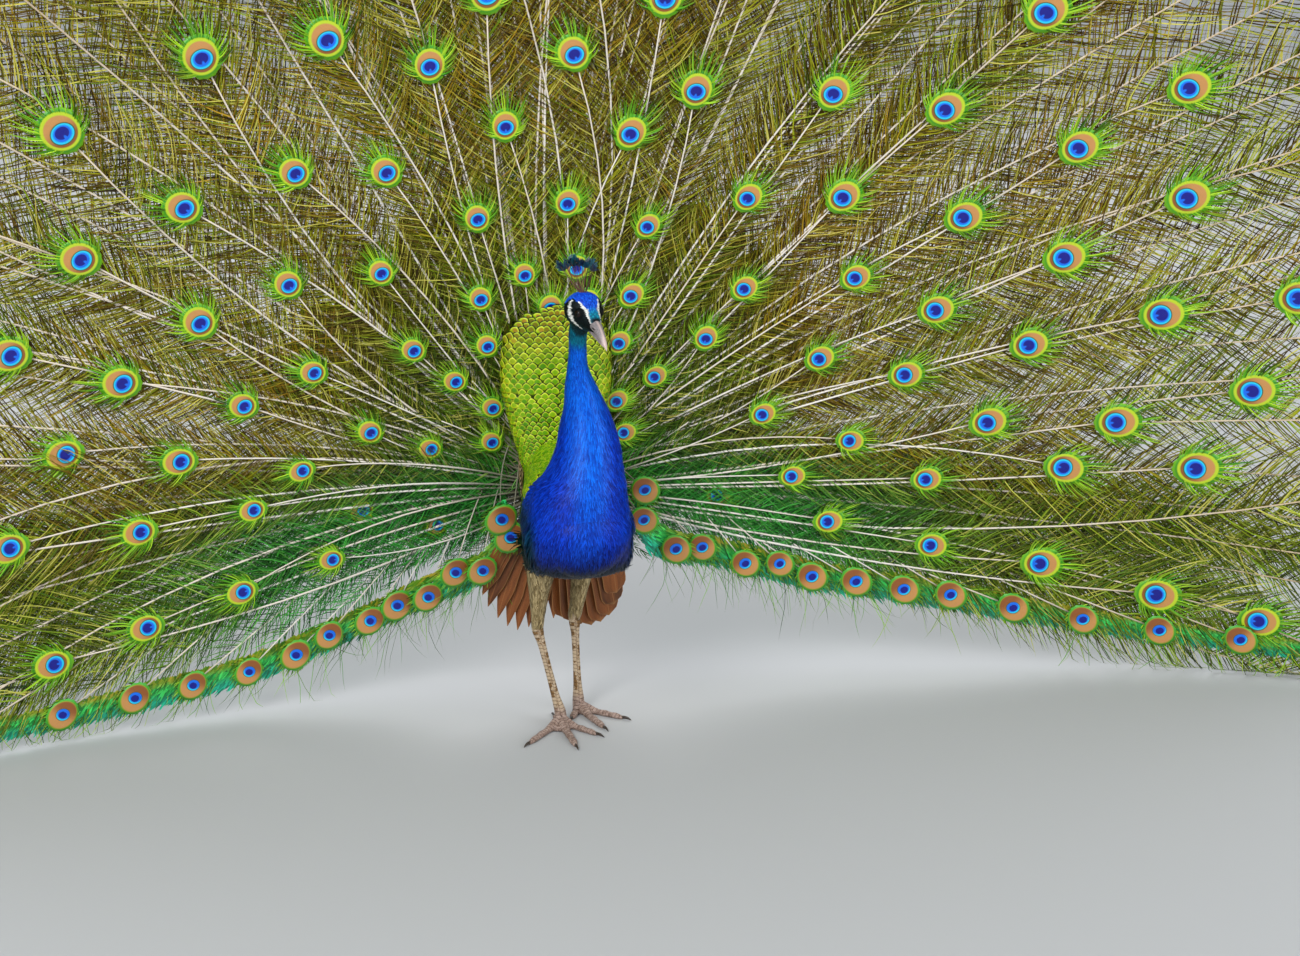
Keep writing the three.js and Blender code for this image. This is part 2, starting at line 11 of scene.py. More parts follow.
import bpy
import numpy as np
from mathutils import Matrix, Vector


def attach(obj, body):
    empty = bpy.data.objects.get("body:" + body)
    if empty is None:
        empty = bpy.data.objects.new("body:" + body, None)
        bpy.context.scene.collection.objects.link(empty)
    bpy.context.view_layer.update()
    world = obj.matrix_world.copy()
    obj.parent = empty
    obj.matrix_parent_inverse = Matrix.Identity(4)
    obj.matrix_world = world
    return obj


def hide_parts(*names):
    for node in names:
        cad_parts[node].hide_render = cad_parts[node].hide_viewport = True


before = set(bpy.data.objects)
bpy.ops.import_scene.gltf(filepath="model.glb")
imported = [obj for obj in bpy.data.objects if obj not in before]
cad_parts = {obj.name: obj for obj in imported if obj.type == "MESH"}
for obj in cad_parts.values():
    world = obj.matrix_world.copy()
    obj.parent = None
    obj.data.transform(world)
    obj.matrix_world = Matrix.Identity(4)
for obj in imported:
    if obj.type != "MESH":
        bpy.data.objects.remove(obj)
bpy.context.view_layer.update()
scene = bpy.context.scene
dice = np.random.default_rng(41)
THIN_OUT = 1
SIDES = {"left": 1, "right": -1}  # the bird's own left is towards positive X

# %% [markdown]
# ## Shader sums
# A colour pattern is a sum of distances and masks. Written as nodes by hand it is hard to read, so a
# small class wraps a socket and lets Python's own operators add the Math nodes. Colours and vectors
# need other nodes, because a Math node turns a colour grey: they go through Mix and Vector Math.


# %% A value that can be used in sums
class Value:
    """A number at a shader socket. Sums and products of values add Math nodes."""

    def __init__(self, finish, socket):
        self.finish = finish
        self.socket = socket

    def maths(self, operation, *others):
        return self.finish.node("ShaderNodeMath", {"operation": operation}, [self, *others])

    def at_least(self, other):
        return self.maths("MAXIMUM", other)

    def __add__(self, other):
        return self.maths("ADD", other)

    __radd__ = __add__

    def __mul__(self, other):
        return self.maths("MULTIPLY", other)

    __rmul__ = __mul__

    def __sub__(self, other):
        return self.maths("SUBTRACT", other)

    def __rsub__(self, other):
        return self.finish.node("ShaderNodeMath", {"operation": "SUBTRACT"}, [other, self])

    def __truediv__(self, other):
        return self.maths("DIVIDE", other)

    def __pow__(self, other):
        return self.maths("POWER", other)

    def __abs__(self):
        return self.maths("ABSOLUTE")

    def smooth(self, low, high):
        """0 below low, 1 above high, and a soft step between them. low may be above high."""
        flip = low > high
        steps = {"From Min": min(low, high), "From Max": max(low, high),
                 "To Min": float(flip), "To Max": float(not flip)}
        return self.finish.node("ShaderNodeMapRange", {"interpolation_type": "SMOOTHSTEP"},
                                {"Value": self, **steps})

    def limit(self, low, high):
        return self.finish.node("ShaderNodeClamp", values=[self, low, high])


# %% A material that is built from values
def linear(hex_colour):
    """The linear colour of a screen colour such as 1f6feb."""
    parts = [int(hex_colour[k:k + 2], 16) / 255 for k in (0, 2, 4)]
    return (*[c / 12.92 if c <= 0.04045 else ((c + 0.055) / 1.055) ** 2.4 for c in parts], 1.0)


class Finish:
    """A material with one Principled shader. Every other node comes from node()."""

    def __init__(self, name, **constants):
        self.material = bpy.data.materials.new(name)
        self.material.use_nodes = True
        self.tree = self.material.node_tree
        self.shader = self.tree.nodes["Principled BSDF"]
        self.finish(**constants)

    def put(self, socket, value):
        """Links a value to a socket, or sets the socket to a number, a colour or a vector."""
        if isinstance(value, Value):
            self.tree.links.new(value.socket, socket)
        elif isinstance(value, str):
            socket.default_value = linear(value)
        else:
            socket.default_value = value

    def node(self, kind, settings=None, values=(), out=0):
        """Adds a node: its settings first, then the values or links of its sockets."""
        made = self.tree.nodes.new(kind)
        for key, value in (settings or {}).items():
            setattr(made, key, value)
        pairs = values.items() if isinstance(values, dict) else enumerate(values)
        for key, value in pairs:
            self.put(made.inputs[key], value)
        return Value(self, made.outputs[out])

    def vector(self, name):
        return self.node("ShaderNodeAttribute", {"attribute_name": name}, out="Vector")

    def parts(self, vector):
        split = self.node("ShaderNodeSeparateXYZ", values=[vector])
        return [Value(self, socket) for socket in split.socket.node.outputs]

    def coords(self, name):
        """The three numbers that an attribute of the mesh holds at each point."""
        return self.parts(self.vector(name))

    def mix(self, amount, first, second):
        """A colour between two colours."""
        return self.node("ShaderNodeMix", {"data_type": "RGBA"}, {0: amount, 6: first, 7: second}, out=2)

    def shaded(self, colour, amount):
        """A colour times a number, brighter above 1 and darker below it."""
        grey = self.node("ShaderNodeCombineXYZ", values=[amount, amount, amount])
        settings = {"data_type": "RGBA", "blend_type": "MULTIPLY"}
        return self.node("ShaderNodeMix", settings, {0: 1.0, 6: colour, 7: grey}, out=2)

    def noise(self, place, scale, detail=2.0):
        """Soft cloudy values round 0.5. place is a vector, or the name of an attribute."""
        place = self.vector(place) if isinstance(place, str) else place
        values = {"Vector": place, "Scale": scale, "Detail": detail}
        return self.node("ShaderNodeTexNoise", values=values)

    def chance(self, number):
        """A random value that is the same wherever the number is the same."""
        return self.node("ShaderNodeTexWhiteNoise", {"noise_dimensions": "1D"}, {"W": number})

    def cover(self, colour, *layers):
        """Lays colours over each other, each with its own mask."""
        for mask, over in layers:
            colour = self.mix(mask, colour, over)
        return colour

    def bump(self, height, strength, distance=0.001):
        made = self.node("ShaderNodeBump", values={"Height": height, "Strength": strength,
                                                   "Distance": distance})
        self.put(self.shader.inputs["Normal"], made)

    def finish(self, **sockets):
        """Sets or links sockets of the Principled shader, named in small letters with underscores."""
        named = {socket.name.lower().replace(" ", "_"): socket for socket in self.shader.inputs}
        for name, value in sockets.items():
            self.put(named[name], value)
        return self.material


# %% [markdown]
# ## Camera, floor and light
# The bird is seen from a little above its head and from its own right. A pale floor runs far
# behind it, so nothing else is in view. Large lamps give the soft light of a studio.

# %% Camera
CAMERA_AT = Vector((-0.6425, -3.6658, 1.55))
CAMERA_LOOKS = Vector((0.1923, 0.9328, -0.3046))
LENS = 78.9  # millimetres
SENSOR = 36

camera = bpy.data.objects.new("camera", bpy.data.cameras.new("camera"))
scene.collection.objects.link(camera)
camera.location = CAMERA_AT
camera.rotation_mode = "QUATERNION"
camera.rotation_quaternion = CAMERA_LOOKS.to_track_quat("-Z", "Y")
camera.data.lens = LENS
camera.data.sensor_width = SENSOR
scene.camera = camera
scene.view_settings.view_transform = "Standard"
print("camera at", tuple(round(c, 3) for c in camera.location))

# %% Floor and lamps
FLOOR_HALF = 30.0
LAMPS = {  # place, size in metres, power in watts
    "key": ((-2.6, -3.4, 3.6), 2.4, 150),
    "fill": ((3.4, -3.0, 2.2), 2.6, 60),
    "rim": ((0.8, 3.6, 3.2), 2.6, 90),
}
LAMPS_LOOK_AT = Vector((0, 0, 0.6))

floor_mesh = bpy.data.meshes.new("floor")
floor_mesh.from_pydata([(-FLOOR_HALF, -FLOOR_HALF, 0), (FLOOR_HALF, -FLOOR_HALF, 0),
                        (FLOOR_HALF, FLOOR_HALF, 0), (-FLOOR_HALF, FLOOR_HALF, 0)], [], [(0, 1, 2, 3)])
floor = bpy.data.objects.new("floor", floor_mesh)
scene.collection.objects.link(floor)
floor_mesh.materials.append(Finish("floor_paint", base_color="b9babb", roughness=0.9).material)

for name, (place, size, power) in LAMPS.items():
    lamp = bpy.data.lights.new(name, "AREA")
    lamp.shape = "DISK"
    lamp.size = size
    lamp.energy = power
    lamp_object = bpy.data.objects.new(name, lamp)
    lamp_object.location = place
    lamp_object.rotation_mode = "QUATERNION"
    lamp_object.rotation_quaternion = (LAMPS_LOOK_AT - Vector(place)).to_track_quat("-Z", "Y")
    scene.collection.objects.link(lamp_object)

scene.world = bpy.data.worlds.new("studio")
scene.world.use_nodes = True
sky = scene.world.node_tree.nodes["Background"].inputs
sky["Color"].default_value = linear("e8edf2")
sky["Strength"].default_value = 0.85
print("lamps:", list(LAMPS))

# %% [markdown]
# ## Meshes made by arithmetic
# A bird has tens of thousands of feathers and barbs. Modifiers or instances would not survive the
# export, so each kind of feather is one small sheet that is stamped many times with numpy: every
# copy is bent, widened and turned by arrays of numbers. The first helper makes an object from such
# arrays. It also writes the map OFBake, where a tuft is a tiny patch at the place of its root.


# %% Helpers for meshes
def lerp(a, b, t):
    return a + (b - a) * t


def step(t, low, high):
    """A soft step from 0 at low to 1 at high."""
    t = np.clip((t - low) / (high - low), 0, 1)
    return t * t * (3 - 2 * t)


def unit(vectors):
    return vectors / np.maximum(np.linalg.norm(vectors, axis=-1, keepdims=True), 1e-12)


def ring_turns(sides, shift=0):
    """Even turns round a circle, moved on by a share of one step."""
    return 2 * pi * (np.arange(sides) + shift) / sides


FLOOR_GAP = 0.0003  # nothing sinks into the floor


def build(name, points, faces, material, replaces=(), layers=None, uv=None):
    """One shown piece. faces is a list of arrays of corner numbers, each for one kind of polygon."""
    mesh = bpy.data.meshes.new(name)
    points = np.array(points, np.float32).reshape(-1, 3)
    points[:, 2] = np.maximum(points[:, 2], FLOOR_GAP)
    faces = [np.asarray(f, np.int32) for f in faces if len(f)]
    corners = np.concatenate([f.ravel() for f in faces])
    sizes = np.concatenate([np.full(len(f), f.shape[1], np.int32) for f in faces])
    mesh.vertices.add(len(points))
    mesh.vertices.foreach_set("co", points.ravel())
    mesh.loops.add(len(corners))
    mesh.loops.foreach_set("vertex_index", corners)
    mesh.polygons.add(len(sizes))
    mesh.polygons.foreach_set("loop_start", np.concatenate([[0], np.cumsum(sizes)[:-1]]).astype(np.int32))
    mesh.polygons.foreach_set("use_smooth", np.ones(len(sizes), bool))
    for key, values in (layers or {}).items():
        layer = mesh.attributes.new(key, "FLOAT_VECTOR", "POINT")
        layer.data.foreach_set("vector", np.asarray(values, np.float32).ravel())
    if uv is not None:
        layer = mesh.uv_layers.new(name="OFBake")
        layer.uv.foreach_set("vector", np.asarray(uv, np.float32).reshape(-1, 2)[corners].ravel())
    mesh.update(calc_edges=True)
    mesh.validate()
    piece = bpy.data.objects.new(name, mesh)
    scene.collection.objects.link(piece)
    mesh.materials.append(material)
    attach(piece, "root")
    if replaces:
        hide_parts(*replaces)
    print(f"{name}: {int((sizes - 2).sum())} triangles")
    return piece


def grid_faces(across, along, closed=False):
    """Quads of a grid whose points run across first. closed joins the last column to the first."""
    row = across if closed else across + 1
    i, j = np.meshgrid(np.arange(across), np.arange(along))
    a = (j * row + i).ravel()
    b = (j * row + (i + 1) % row).ravel()
    return np.stack([a, b, b + row, a + row], 1)


def tube_faces(sides, rows):
    """The quads of a tube with rows + 1 rings, and a cap on its first and last ring."""
    ring = np.arange(sides)
    return [grid_faces(sides, rows, closed=True), np.stack([ring[::-1], ring + rows * sides])]


def repeated(faces, copies, points_each):
    """The same faces for every copy of a shape."""
    shift = (np.arange(copies) * points_each)[:, None, None]
    return (faces[None] + shift).reshape(-1, faces.shape[1])


# %% Stamp a small sheet many times
TUFT_PATCH = 0.003  # a tuft's share of its map


class Sheet:
    """A thin leaf shape: `a` runs from -1 to 1 across it and `b` from 0 at the root to 1."""

    def __init__(self, across, along, outline, crowd=1.0):
        rows = 1 - (1 - np.linspace(0, 1, along + 1)) ** crowd  # crowd above 1: more rows at the tip
        b, a = np.meshgrid(rows, np.linspace(-1, 1, across + 1), indexing="ij")
        self.a, self.b = a.ravel(), b.ravel()
        self.wide = outline(self.b)
        self.faces = grid_faces(across, along)

    def stamp(self, root, along, normal, length, width, lift=0.0, curl=0.0, crown=0.0):
        """Points of every copy, as an array of copies by points by 3.

        lift raises the tip and curl bends it back down, as shares of the length. crown arches the
        sheet across, as a share of the width. Each may be one number, or one for each copy.
        """
        normal = unit(normal)
        along = unit(along - normal * (along * normal).sum(-1, keepdims=True))
        side = np.cross(along, normal)
        length, width, lift, curl, crown = [np.broadcast_to(v, len(root))[:, None] for v in
                                            (length, width, lift, curl, crown)]
        reach = self.b * length
        up = lift * reach - curl * reach * self.b + crown * width * (1 - self.a ** 2) * self.wide
        out = self.a * self.wide * width
        return (root[:, None] + reach[..., None] * along[:, None] + out[..., None] * side[:, None]
                + up[..., None] * normal[:, None])

    def layers(self, roots, numbers):
        """Two attributes: where the copy's root is, and (across, along, a number of its own)."""
        n, k = len(roots), len(self.a)
        grain = np.stack([np.tile(self.a, n), np.tile(self.b, n), np.repeat(numbers, k)], 1)
        return {"root": np.repeat(roots, k, 0), "grain": grain}

    def patches(self, places):
        """Each copy's patch of the map, at its root's place."""
        spot = np.stack([(self.a + 1) / 2, self.b], 1) * TUFT_PATCH
        return np.clip(places[:, None] + spot[None], 0, 1).reshape(-1, 2)

    def piece(self, name, points, roots, places, material, slot, replaces=(), under=None):
        """Builds one piece of all copies. under is a solid below them: points, faces, grain, map."""
        layers = self.layers(roots, dice.random(len(roots)))
        uv, faces = self.patches(places), repeated(self.faces, *points.shape[:2])
        points = points.reshape(-1, 3)
        if under is None:
            return build(name, points, [faces], material, replaces, layers, uv)
        solid, solid_faces, solid_grain, solid_uv = under
        layers = {"root": np.concatenate([solid, layers["root"]]),
                  "grain": np.concatenate([np.tile(solid_grain, (len(solid), 1)), layers["grain"]])}
        return build(name, np.concatenate([solid, points]), [*solid_faces, faces + len(solid)],
                     material, replaces, layers, np.concatenate([solid_uv, uv]))

# %% [markdown]
# ## The body under the feathers
# Neck, trunk, head, thighs, shanks and toes are one skin. It could be carved from one block, but round
# sections are easier to place: each part is a loft through ovals, all lofts are merged by a voxel
# remesh, and the result is smoothed. The skin then moves inward by the depth of the coat, so that the
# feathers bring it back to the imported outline. Sections are in millimetres, as a taxidermist measures.

# %% Sections of the body
MM = 0.001
SHIFT = np.array([0, -22.0, 0])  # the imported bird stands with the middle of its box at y 0
# Trunk from the breast to the rump: y, centre z, half width, half height.
TRUNK = [
    (-137, 314, 8, 9), (-126, 314, 38, 36), (-100, 315, 62, 59), (-60, 318, 75, 70),
    (0, 322, 73, 74), (60, 333, 59, 70), (120, 347, 48, 63), (170, 361, 40, 53),
    (210, 376, 28, 39), (236, 386, 11, 13),
]
# Neck from the breast to the nape: z, x, y, half width, half depth.
NECK = [
    (244, 2, -44, 40, 26), (252, 2, -48, 60, 44), (266, 0, -53, 71, 55), (290, -2, -60, 75, 64),
    (325, -3, -63, 74, 68), (374, 1, -61, 64, 60), (398, 8, -57, 54, 54), (428, 13, -53, 45.5, 47),
    (457, 12.5, -49, 39, 40), (484, 10.5, -47, 31, 33), (513, 4.5, -48, 23.5, 26), (540, 0, -52, 16.5, 20),
    (565, -1, -59, 14.5, 18), (590, -2, -68, 15, 19), (608, 0, -78, 16, 18),
]
# Head from the back of the skull to the bill: distance forward, half width, top, bottom.
HEAD = [
    (-33, 3, 3, 3), (-30, 12, 10, 11), (-22, 21.5, 19, 20), (-10, 25.5, 24, 25), (0, 24, 24, 24.5),
    (9, 19.5, 21.5, 21.5), (18, 15, 17, 18), (26, 11.5, 12.5, 14), (33, 8, 8.5, 10), (37, 5.5, 6, 8),
]
HEAD_CENTRE = np.array([4.5, -90, 622]) + SHIFT
HEAD_YAW = radians(15)
HEAD_PITCH = radians(22)
HEAD_FORWARD = np.array([cos(HEAD_PITCH) * sin(HEAD_YAW),
                         -cos(HEAD_PITCH) * cos(HEAD_YAW), -sin(HEAD_PITCH)])
HEAD_LEFT = np.array([cos(HEAD_YAW), sin(HEAD_YAW), 0])
HEAD_UP = -np.cross(HEAD_LEFT, HEAD_FORWARD)
EYE_AT = (9.5, 14.4, 7)  # forward, out to each side, up
EYE_RADIUS = 6
LEGS = {
    "left": {"hip": (32, 52, 275), "knee": (24, 66, 205), "hock": (15, 74, 134), "ball": (17, 60, 16),
             "toes": {"outer": (73, 15), "middle": (40, -14), "inner": (2, 28), "hind": (20, 88)}},
    "right": {"hip": (-38, 12, 275), "knee": (-43, 24, 205), "hock": (-45, 32, 141),
              "ball": (-17, 14, 16),
              "toes": {"outer": (-72, -49), "middle": (-10, -70), "inner": (26, -36),
                       "hind": (-21, 42)}},
}
TOE_WIDTH = {"outer": 5.2, "middle": 5.6, "inner": 5.2, "hind": 3.8}
SIDEWAYS, BACKWARD, UPWARD = np.eye(3)


def head_point(forward, left, up):
    """Points in the head's own directions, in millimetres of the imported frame."""
    parts = [np.asarray(v, float)[..., None] for v in (forward, left, up)]
    return HEAD_CENTRE + parts[0] * HEAD_FORWARD + parts[1] * HEAD_LEFT + parts[2] * HEAD_UP


def curve(keys, t):
    """Smooth curve through rows of numbers, t from 0 to 1."""
    keys = np.asarray(keys, float)
    last = len(keys) - 1
    at = np.clip(np.asarray(t, float) * last, 0, last - 1e-9)
    i = at.astype(int)
    f = (at - i)[:, None]
    a, b, c, d = [keys[np.clip(i + k, 0, last)] for k in (-1, 0, 1, 2)]
    return 0.5 * (2 * b + (c - a) * f + (2 * a - 5 * b + 4 * c - d) * f ** 2
                  + (3 * b - a - 3 * c + d) * f ** 3)


def loft(centres, across, up, wide, high, sides, low=None):
    """Closed skin over ovals. across and up may be one direction or one for each oval.

    wide, high and low are the ovals' reach to each side, above and below their centres.
    """
    turn = ring_turns(sides, 0.5)
    low = high if low is None else low
    across, up = [np.broadcast_to(v, centres.shape)[:, None] for v in (across, up)]
    tall = np.where(np.sin(turn) > 0, high[:, None], low[:, None])
    rings = (centres[:, None] + across * (wide[:, None] * np.cos(turn))[..., None]
             + up * (tall * np.sin(turn))[..., None])
    n = len(centres)
    points = np.concatenate([rings.reshape(-1, 3), rings[:1].mean(1), rings[-1:].mean(1)])
    k = np.arange(sides)
    first = np.stack([np.full(sides, n * sides), (k + 1) % sides, k], 1)
    last = np.stack([np.full(sides, n * sides + 1), k, (k + 1) % sides], 1)
    last[:, 1:] += (n - 1) * sides
    return points, grid_faces(sides, n - 1, closed=True), np.concatenate([first, last])


def limb(keys, steps=24, sides=20):
    """A round limb through rows of x, y, z, radius across, radius along."""
    rows = curve(keys, np.linspace(0, 1, steps + 1))
    centres = rows[:, :3] + SHIFT
    along = unit(np.gradient(centres, axis=0))
    guide = np.where(np.abs(along[:, 2:]) > 0.8, BACKWARD, UPWARD)
    across = unit(np.cross(along, guide))
    return loft(centres, across, np.cross(across, along), rows[:, 3], rows[:, 4], sides)


# %% Lofts of the legs and feet
def thigh_keys(leg):
    hock, knee = np.array(leg["hock"]), np.array(leg["knee"])
    return [(*leg["hip"], 32, 36), (*knee, 17, 21), (*(knee + hock) / 2, 12.5, 15),
            (hock[0], hock[1], hock[2] + 6, 9.4, 11)]


def shank_keys(leg):
    hock, ball = np.array(leg["hock"], float), np.array(leg["ball"], float)
    return [(*(hock + [0, 0, 30]), 7, 8), (*hock, 8.4, 9.4), (*lerp(hock, ball, 0.18), 5.8, 7.2),
            (*lerp(hock, ball, 0.5), 5.2, 6.6), (*lerp(hock, ball, 0.8), 6.0, 7.2),
            (ball[0], ball[1], ball[2] + 3, 8.2, 8.4), (ball[0], ball[1], 0, 8, 8)]


def toe_keys(leg, name):
    """A toe arches from the ball, swells at its pads and lies flat on the ground."""
    wide = TOE_WIDTH[name]
    rise = 20 if name == "hind" else 12
    rows = [(0, rise, 1.25), (0.2, lerp(rise, wide, 0.6), 1.15), (0.36, wide * 0.84, 1.08),
            (0.47, wide * 0.70, 0.92), (0.60, wide * 0.72, 1.02), (0.71, wide * 0.62, 0.86),
            (0.83, wide * 0.64, 0.94), (0.93, wide * 0.5, 0.72), (1, wide * 0.42, 0.5)]
    tip, ball = np.array(leg["toes"][name]), np.array(leg["ball"][:2])
    return [(*lerp(ball, tip, t), height, wide * s, wide * s * 0.86) for t, height, s in rows]


def web_loft(leg):
    """A low pad of skin between the roots of the front toes."""
    ball = np.array(leg["ball"][:2])
    reach = [lerp(ball, np.array(leg["toes"][name]), 0.36) for name in ("outer", "middle", "inner")]
    rim = np.array([reach[0], reach[1], reach[2], ball + [0, 7]])
    points = np.concatenate([np.c_[rim, np.full(4, z)] for z in (1.0, 7.5)]) + SHIFT
    quads = np.array([(0, 1, 2, 3), (7, 6, 5, 4), (0, 4, 5, 1), (1, 5, 6, 2), (2, 6, 7, 3), (3, 7, 4, 0)])
    return points, quads, np.zeros((0, 3), int)


BODY_STEPS = 60
BODY_SIDES = 48


def body_lofts():
    """Points, quads and triangles of the trunk, the neck, the head and the parts of both legs."""
    trunk, neck, head = [curve(keys, np.linspace(0, 1, BODY_STEPS + 1)).T for keys in (TRUNK, NECK, HEAD)]
    trunk_line = np.stack([0 * trunk[0], trunk[0], trunk[1]], 1) + SHIFT
    neck_line = np.stack([neck[1], neck[2], neck[0]], 1) + SHIFT
    parts = [loft(trunk_line, SIDEWAYS, UPWARD, trunk[2], trunk[3], BODY_SIDES),
             loft(neck_line, SIDEWAYS, BACKWARD, neck[3], neck[4], BODY_SIDES),
             loft(head_point(head[0], 0, 0), HEAD_LEFT, HEAD_UP, head[1], head[2], BODY_SIDES, head[3])]
    for leg in LEGS.values():
        parts += [limb(thigh_keys(leg)), limb(shank_keys(leg)), web_loft(leg)]
        parts += [limb(toe_keys(leg, name)) for name in leg["toes"]]
    return parts


# %% Merge the lofts into one skin
VOXEL = 0.0013
SMOOTHING = 5
KEEP_SHARE = 0.18  # faces kept where feathers hide the skin
HIDDEN_ABOVE = 0.150  # height from which feathers hide it
BODY_DEPTH = 0.0032  # depth of the coat
THIGH_DEPTH = 0.0018
HEAD_DEPTH = 0.0008


def numbers(collection, key, width, kind=np.float32):
    found = np.empty(len(collection) * width, kind)
    collection.foreach_get(key, found)
    return found.reshape(-1, width)


def applied(piece):
    """The piece's mesh with its modifiers applied."""
    bpy.context.view_layer.update()
    shaped = bpy.data.meshes.new_from_object(piece.evaluated_get(bpy.context.evaluated_depsgraph_get()))
    piece.modifiers.clear()
    piece.data = shaped
    return shaped


def in_head(points):
    """Forward, left and up of points in the head's own directions, in millimetres."""
    away = np.asarray(points) / MM - HEAD_CENTRE
    return np.stack([away @ HEAD_FORWARD, away @ HEAD_LEFT, away @ HEAD_UP], -1)


def past_throat(forward, up):
    """Millimetres past the slanting line from the nape to the chin, for numbers and shader values."""
    return up * 0.75 + forward * 0.66 + 19.0


def head_share(points):
    """1 on the head and 0 on the neck, with a soft step at the throat."""
    s, _, up = in_head(points).T
    z = np.asarray(points)[:, 2] / MM
    return step(past_throat(s, up), -4, 8) * step(z, 575, 590)


def merged_skin():
    rough = bpy.data.meshes.new("skin")
    points, quads, tris, start = [], [], [], 0
    for part_points, part_quads, part_tris in body_lofts():
        points.append(part_points * MM)
        quads += (part_quads + start).tolist()
        tris += (part_tris + start).tolist()
        start += len(part_points)
    points = np.concatenate(points)
    points[:, 2] = np.maximum(points[:, 2], 0)
    rough.from_pydata(points.tolist(), [], quads + tris)
    skin = bpy.data.objects.new("skin", rough)
    scene.collection.objects.link(skin)
    remesh = skin.modifiers.new("merge", "REMESH")
    remesh.mode = "VOXEL"
    remesh.voxel_size = VOXEL
    soften = skin.modifiers.new("soften", "SMOOTH")
    soften.factor = 0.5
    soften.iterations = SMOOTHING
    applied(skin)
    hidden = skin.vertex_groups.new(name="hidden")
    place = numbers(skin.data.vertices, "co", 3)
    plain = (head_share(place) < 0.1) & (place[:, 2] > HIDDEN_ABOVE)
    hidden.add(np.flatnonzero(plain).tolist(), 1.0, "REPLACE")
    thin = skin.modifiers.new("thin", "DECIMATE")
    thin.ratio = KEEP_SHARE
    thin.vertex_group = "hidden"
    thin.use_collapse_triangulate = True
    applied(skin)
    return skin


skin = merged_skin()
outline = numbers(skin.data.vertices, "co", 3).astype(float)
outward = numbers(skin.data.vertices, "normal", 3).astype(float)
skin.data.calc_loop_triangles()
skin_faces = numbers(skin.data.loop_triangles, "vertices", 3, np.int32)
bpy.data.objects.remove(skin)
print("skin:", len(outline), "points")

# %% [markdown]
# ## Scutes and eyelids
# A bird's foot is plated: broad scutes lie one under the other down the front of the shank and along
# the top of each toe. Every point of the bare skin learns how far along its limb it is and how far
# round it, and rises a little in the middle of its scute. The shader reads the same numbers.
#
# The eyelids are two rings that rise round each eyeball, lie on it, and sink into the face.

# %% Where each point lies on its limb
SCUTE_LONG = 5.2  # millimetres
SCUTE_RISE = 0.0003
SOLE = 0.0002  # lowest height of skin and claws
SHANK_FROM = 400  # added to the distance along a shank, to tell it from a toe
LIMBS = []  # start, end, size, and the way its front or top faces
for leg in LEGS.values():
    ball = np.array(leg["ball"], float) + SHIFT
    LIMBS.append((np.array(leg["hock"]) + SHIFT, ball, 8.0, -BACKWARD))
    for name, (tip_x, tip_y) in leg["toes"].items():
        tip = np.array([tip_x, tip_y, 2.0]) + SHIFT
        LIMBS.append((tip, ball - [0, 0, 8], TOE_WIDTH[name] * 1.1, UPWARD))


def limb_places(points):
    """Distance along the nearest limb, 0 in front to 1 behind (negative on its right), and 1 where bare."""
    points = points / MM
    nearest = np.full(len(points), 1e9)
    along, around, shank = np.zeros((3, len(points)))
    for start, end, wide, facing in LIMBS:
        axis = end - start
        t = np.clip((points - start) @ axis / (axis @ axis), 0, 1)
        away = points - start - t[:, None] * axis
        apart = np.linalg.norm(away, axis=1) / wide
        closer = apart < nearest
        nearest = np.where(closer, apart, nearest)
        along = np.where(closer, t * np.linalg.norm(axis), along)
        away = unit(away)
        hand = np.where(away @ np.cross(axis, facing) > 0, 1.0, -1.0)
        around = np.where(closer, hand * (0.5 - 0.5 * away @ facing), around)
        shank = np.where(closer, float(facing is not UPWARD), shank)
    bare = step(points[:, 2], 150, 138)
    return np.stack([along + SHANK_FROM * shank, around, bare], 1)


def coat_depth(points):
    """How far the skin lies below the feathers' surface: nothing on the bare legs."""
    z = points[:, 2]
    body = THIGH_DEPTH * step(z, 0.140, 0.165) + (BODY_DEPTH - THIGH_DEPTH) * step(z, 0.225, 0.255)
    return lerp(body, HEAD_DEPTH, head_share(points))


scute = limb_places(outline)
column = 0.5 * (scute[:, 1] > 0) * (scute[:, 0] > SHANK_FROM - 10)
plate = np.abs(np.sin(pi * (scute[:, 0] / SCUTE_LONG + column))) ** 0.6 - 0.5
rise = SCUTE_RISE * plate * scute[:, 2] * (1.15 - np.abs(scute[:, 1]))
skin_points = outline + outward * (rise - coat_depth(outline))[:, None]
skin_points[:, 2] = np.maximum(skin_points[:, 2], SOLE)

# %% Eyelids
EYE_LOOKS = (0.45, 0.86, 0.28)  # forward, to its own side, up
EYE_CLEAR = 6.6  # millimetres round the middle of the eye without feathers
LID_SECTORS = 36
LID_PROFILE = ((-0.5, 0.02), (-0.15, 0.32), (0.5, 0.30), (1.2, -0.35), (2.4, -1.7), (3.6, -3.2))
EYE_OPENING = (4.9, 4.1)  # half length and half height of the open eye


def eye_frame(side):
    """Middle of an eyeball and three directions: outward, forward along the face, up."""
    forward, out, up = EYE_AT
    middle = head_point(forward, side * out, up)
    axis = unit(EYE_LOOKS[0] * HEAD_FORWARD + side * EYE_LOOKS[1] * HEAD_LEFT + EYE_LOOKS[2] * HEAD_UP)
    ahead = unit(HEAD_FORWARD - axis * (HEAD_FORWARD @ axis))
    above = unit(HEAD_UP - axis * (HEAD_UP @ axis) - ahead * (HEAD_UP @ ahead))
    return middle, axis, ahead, above


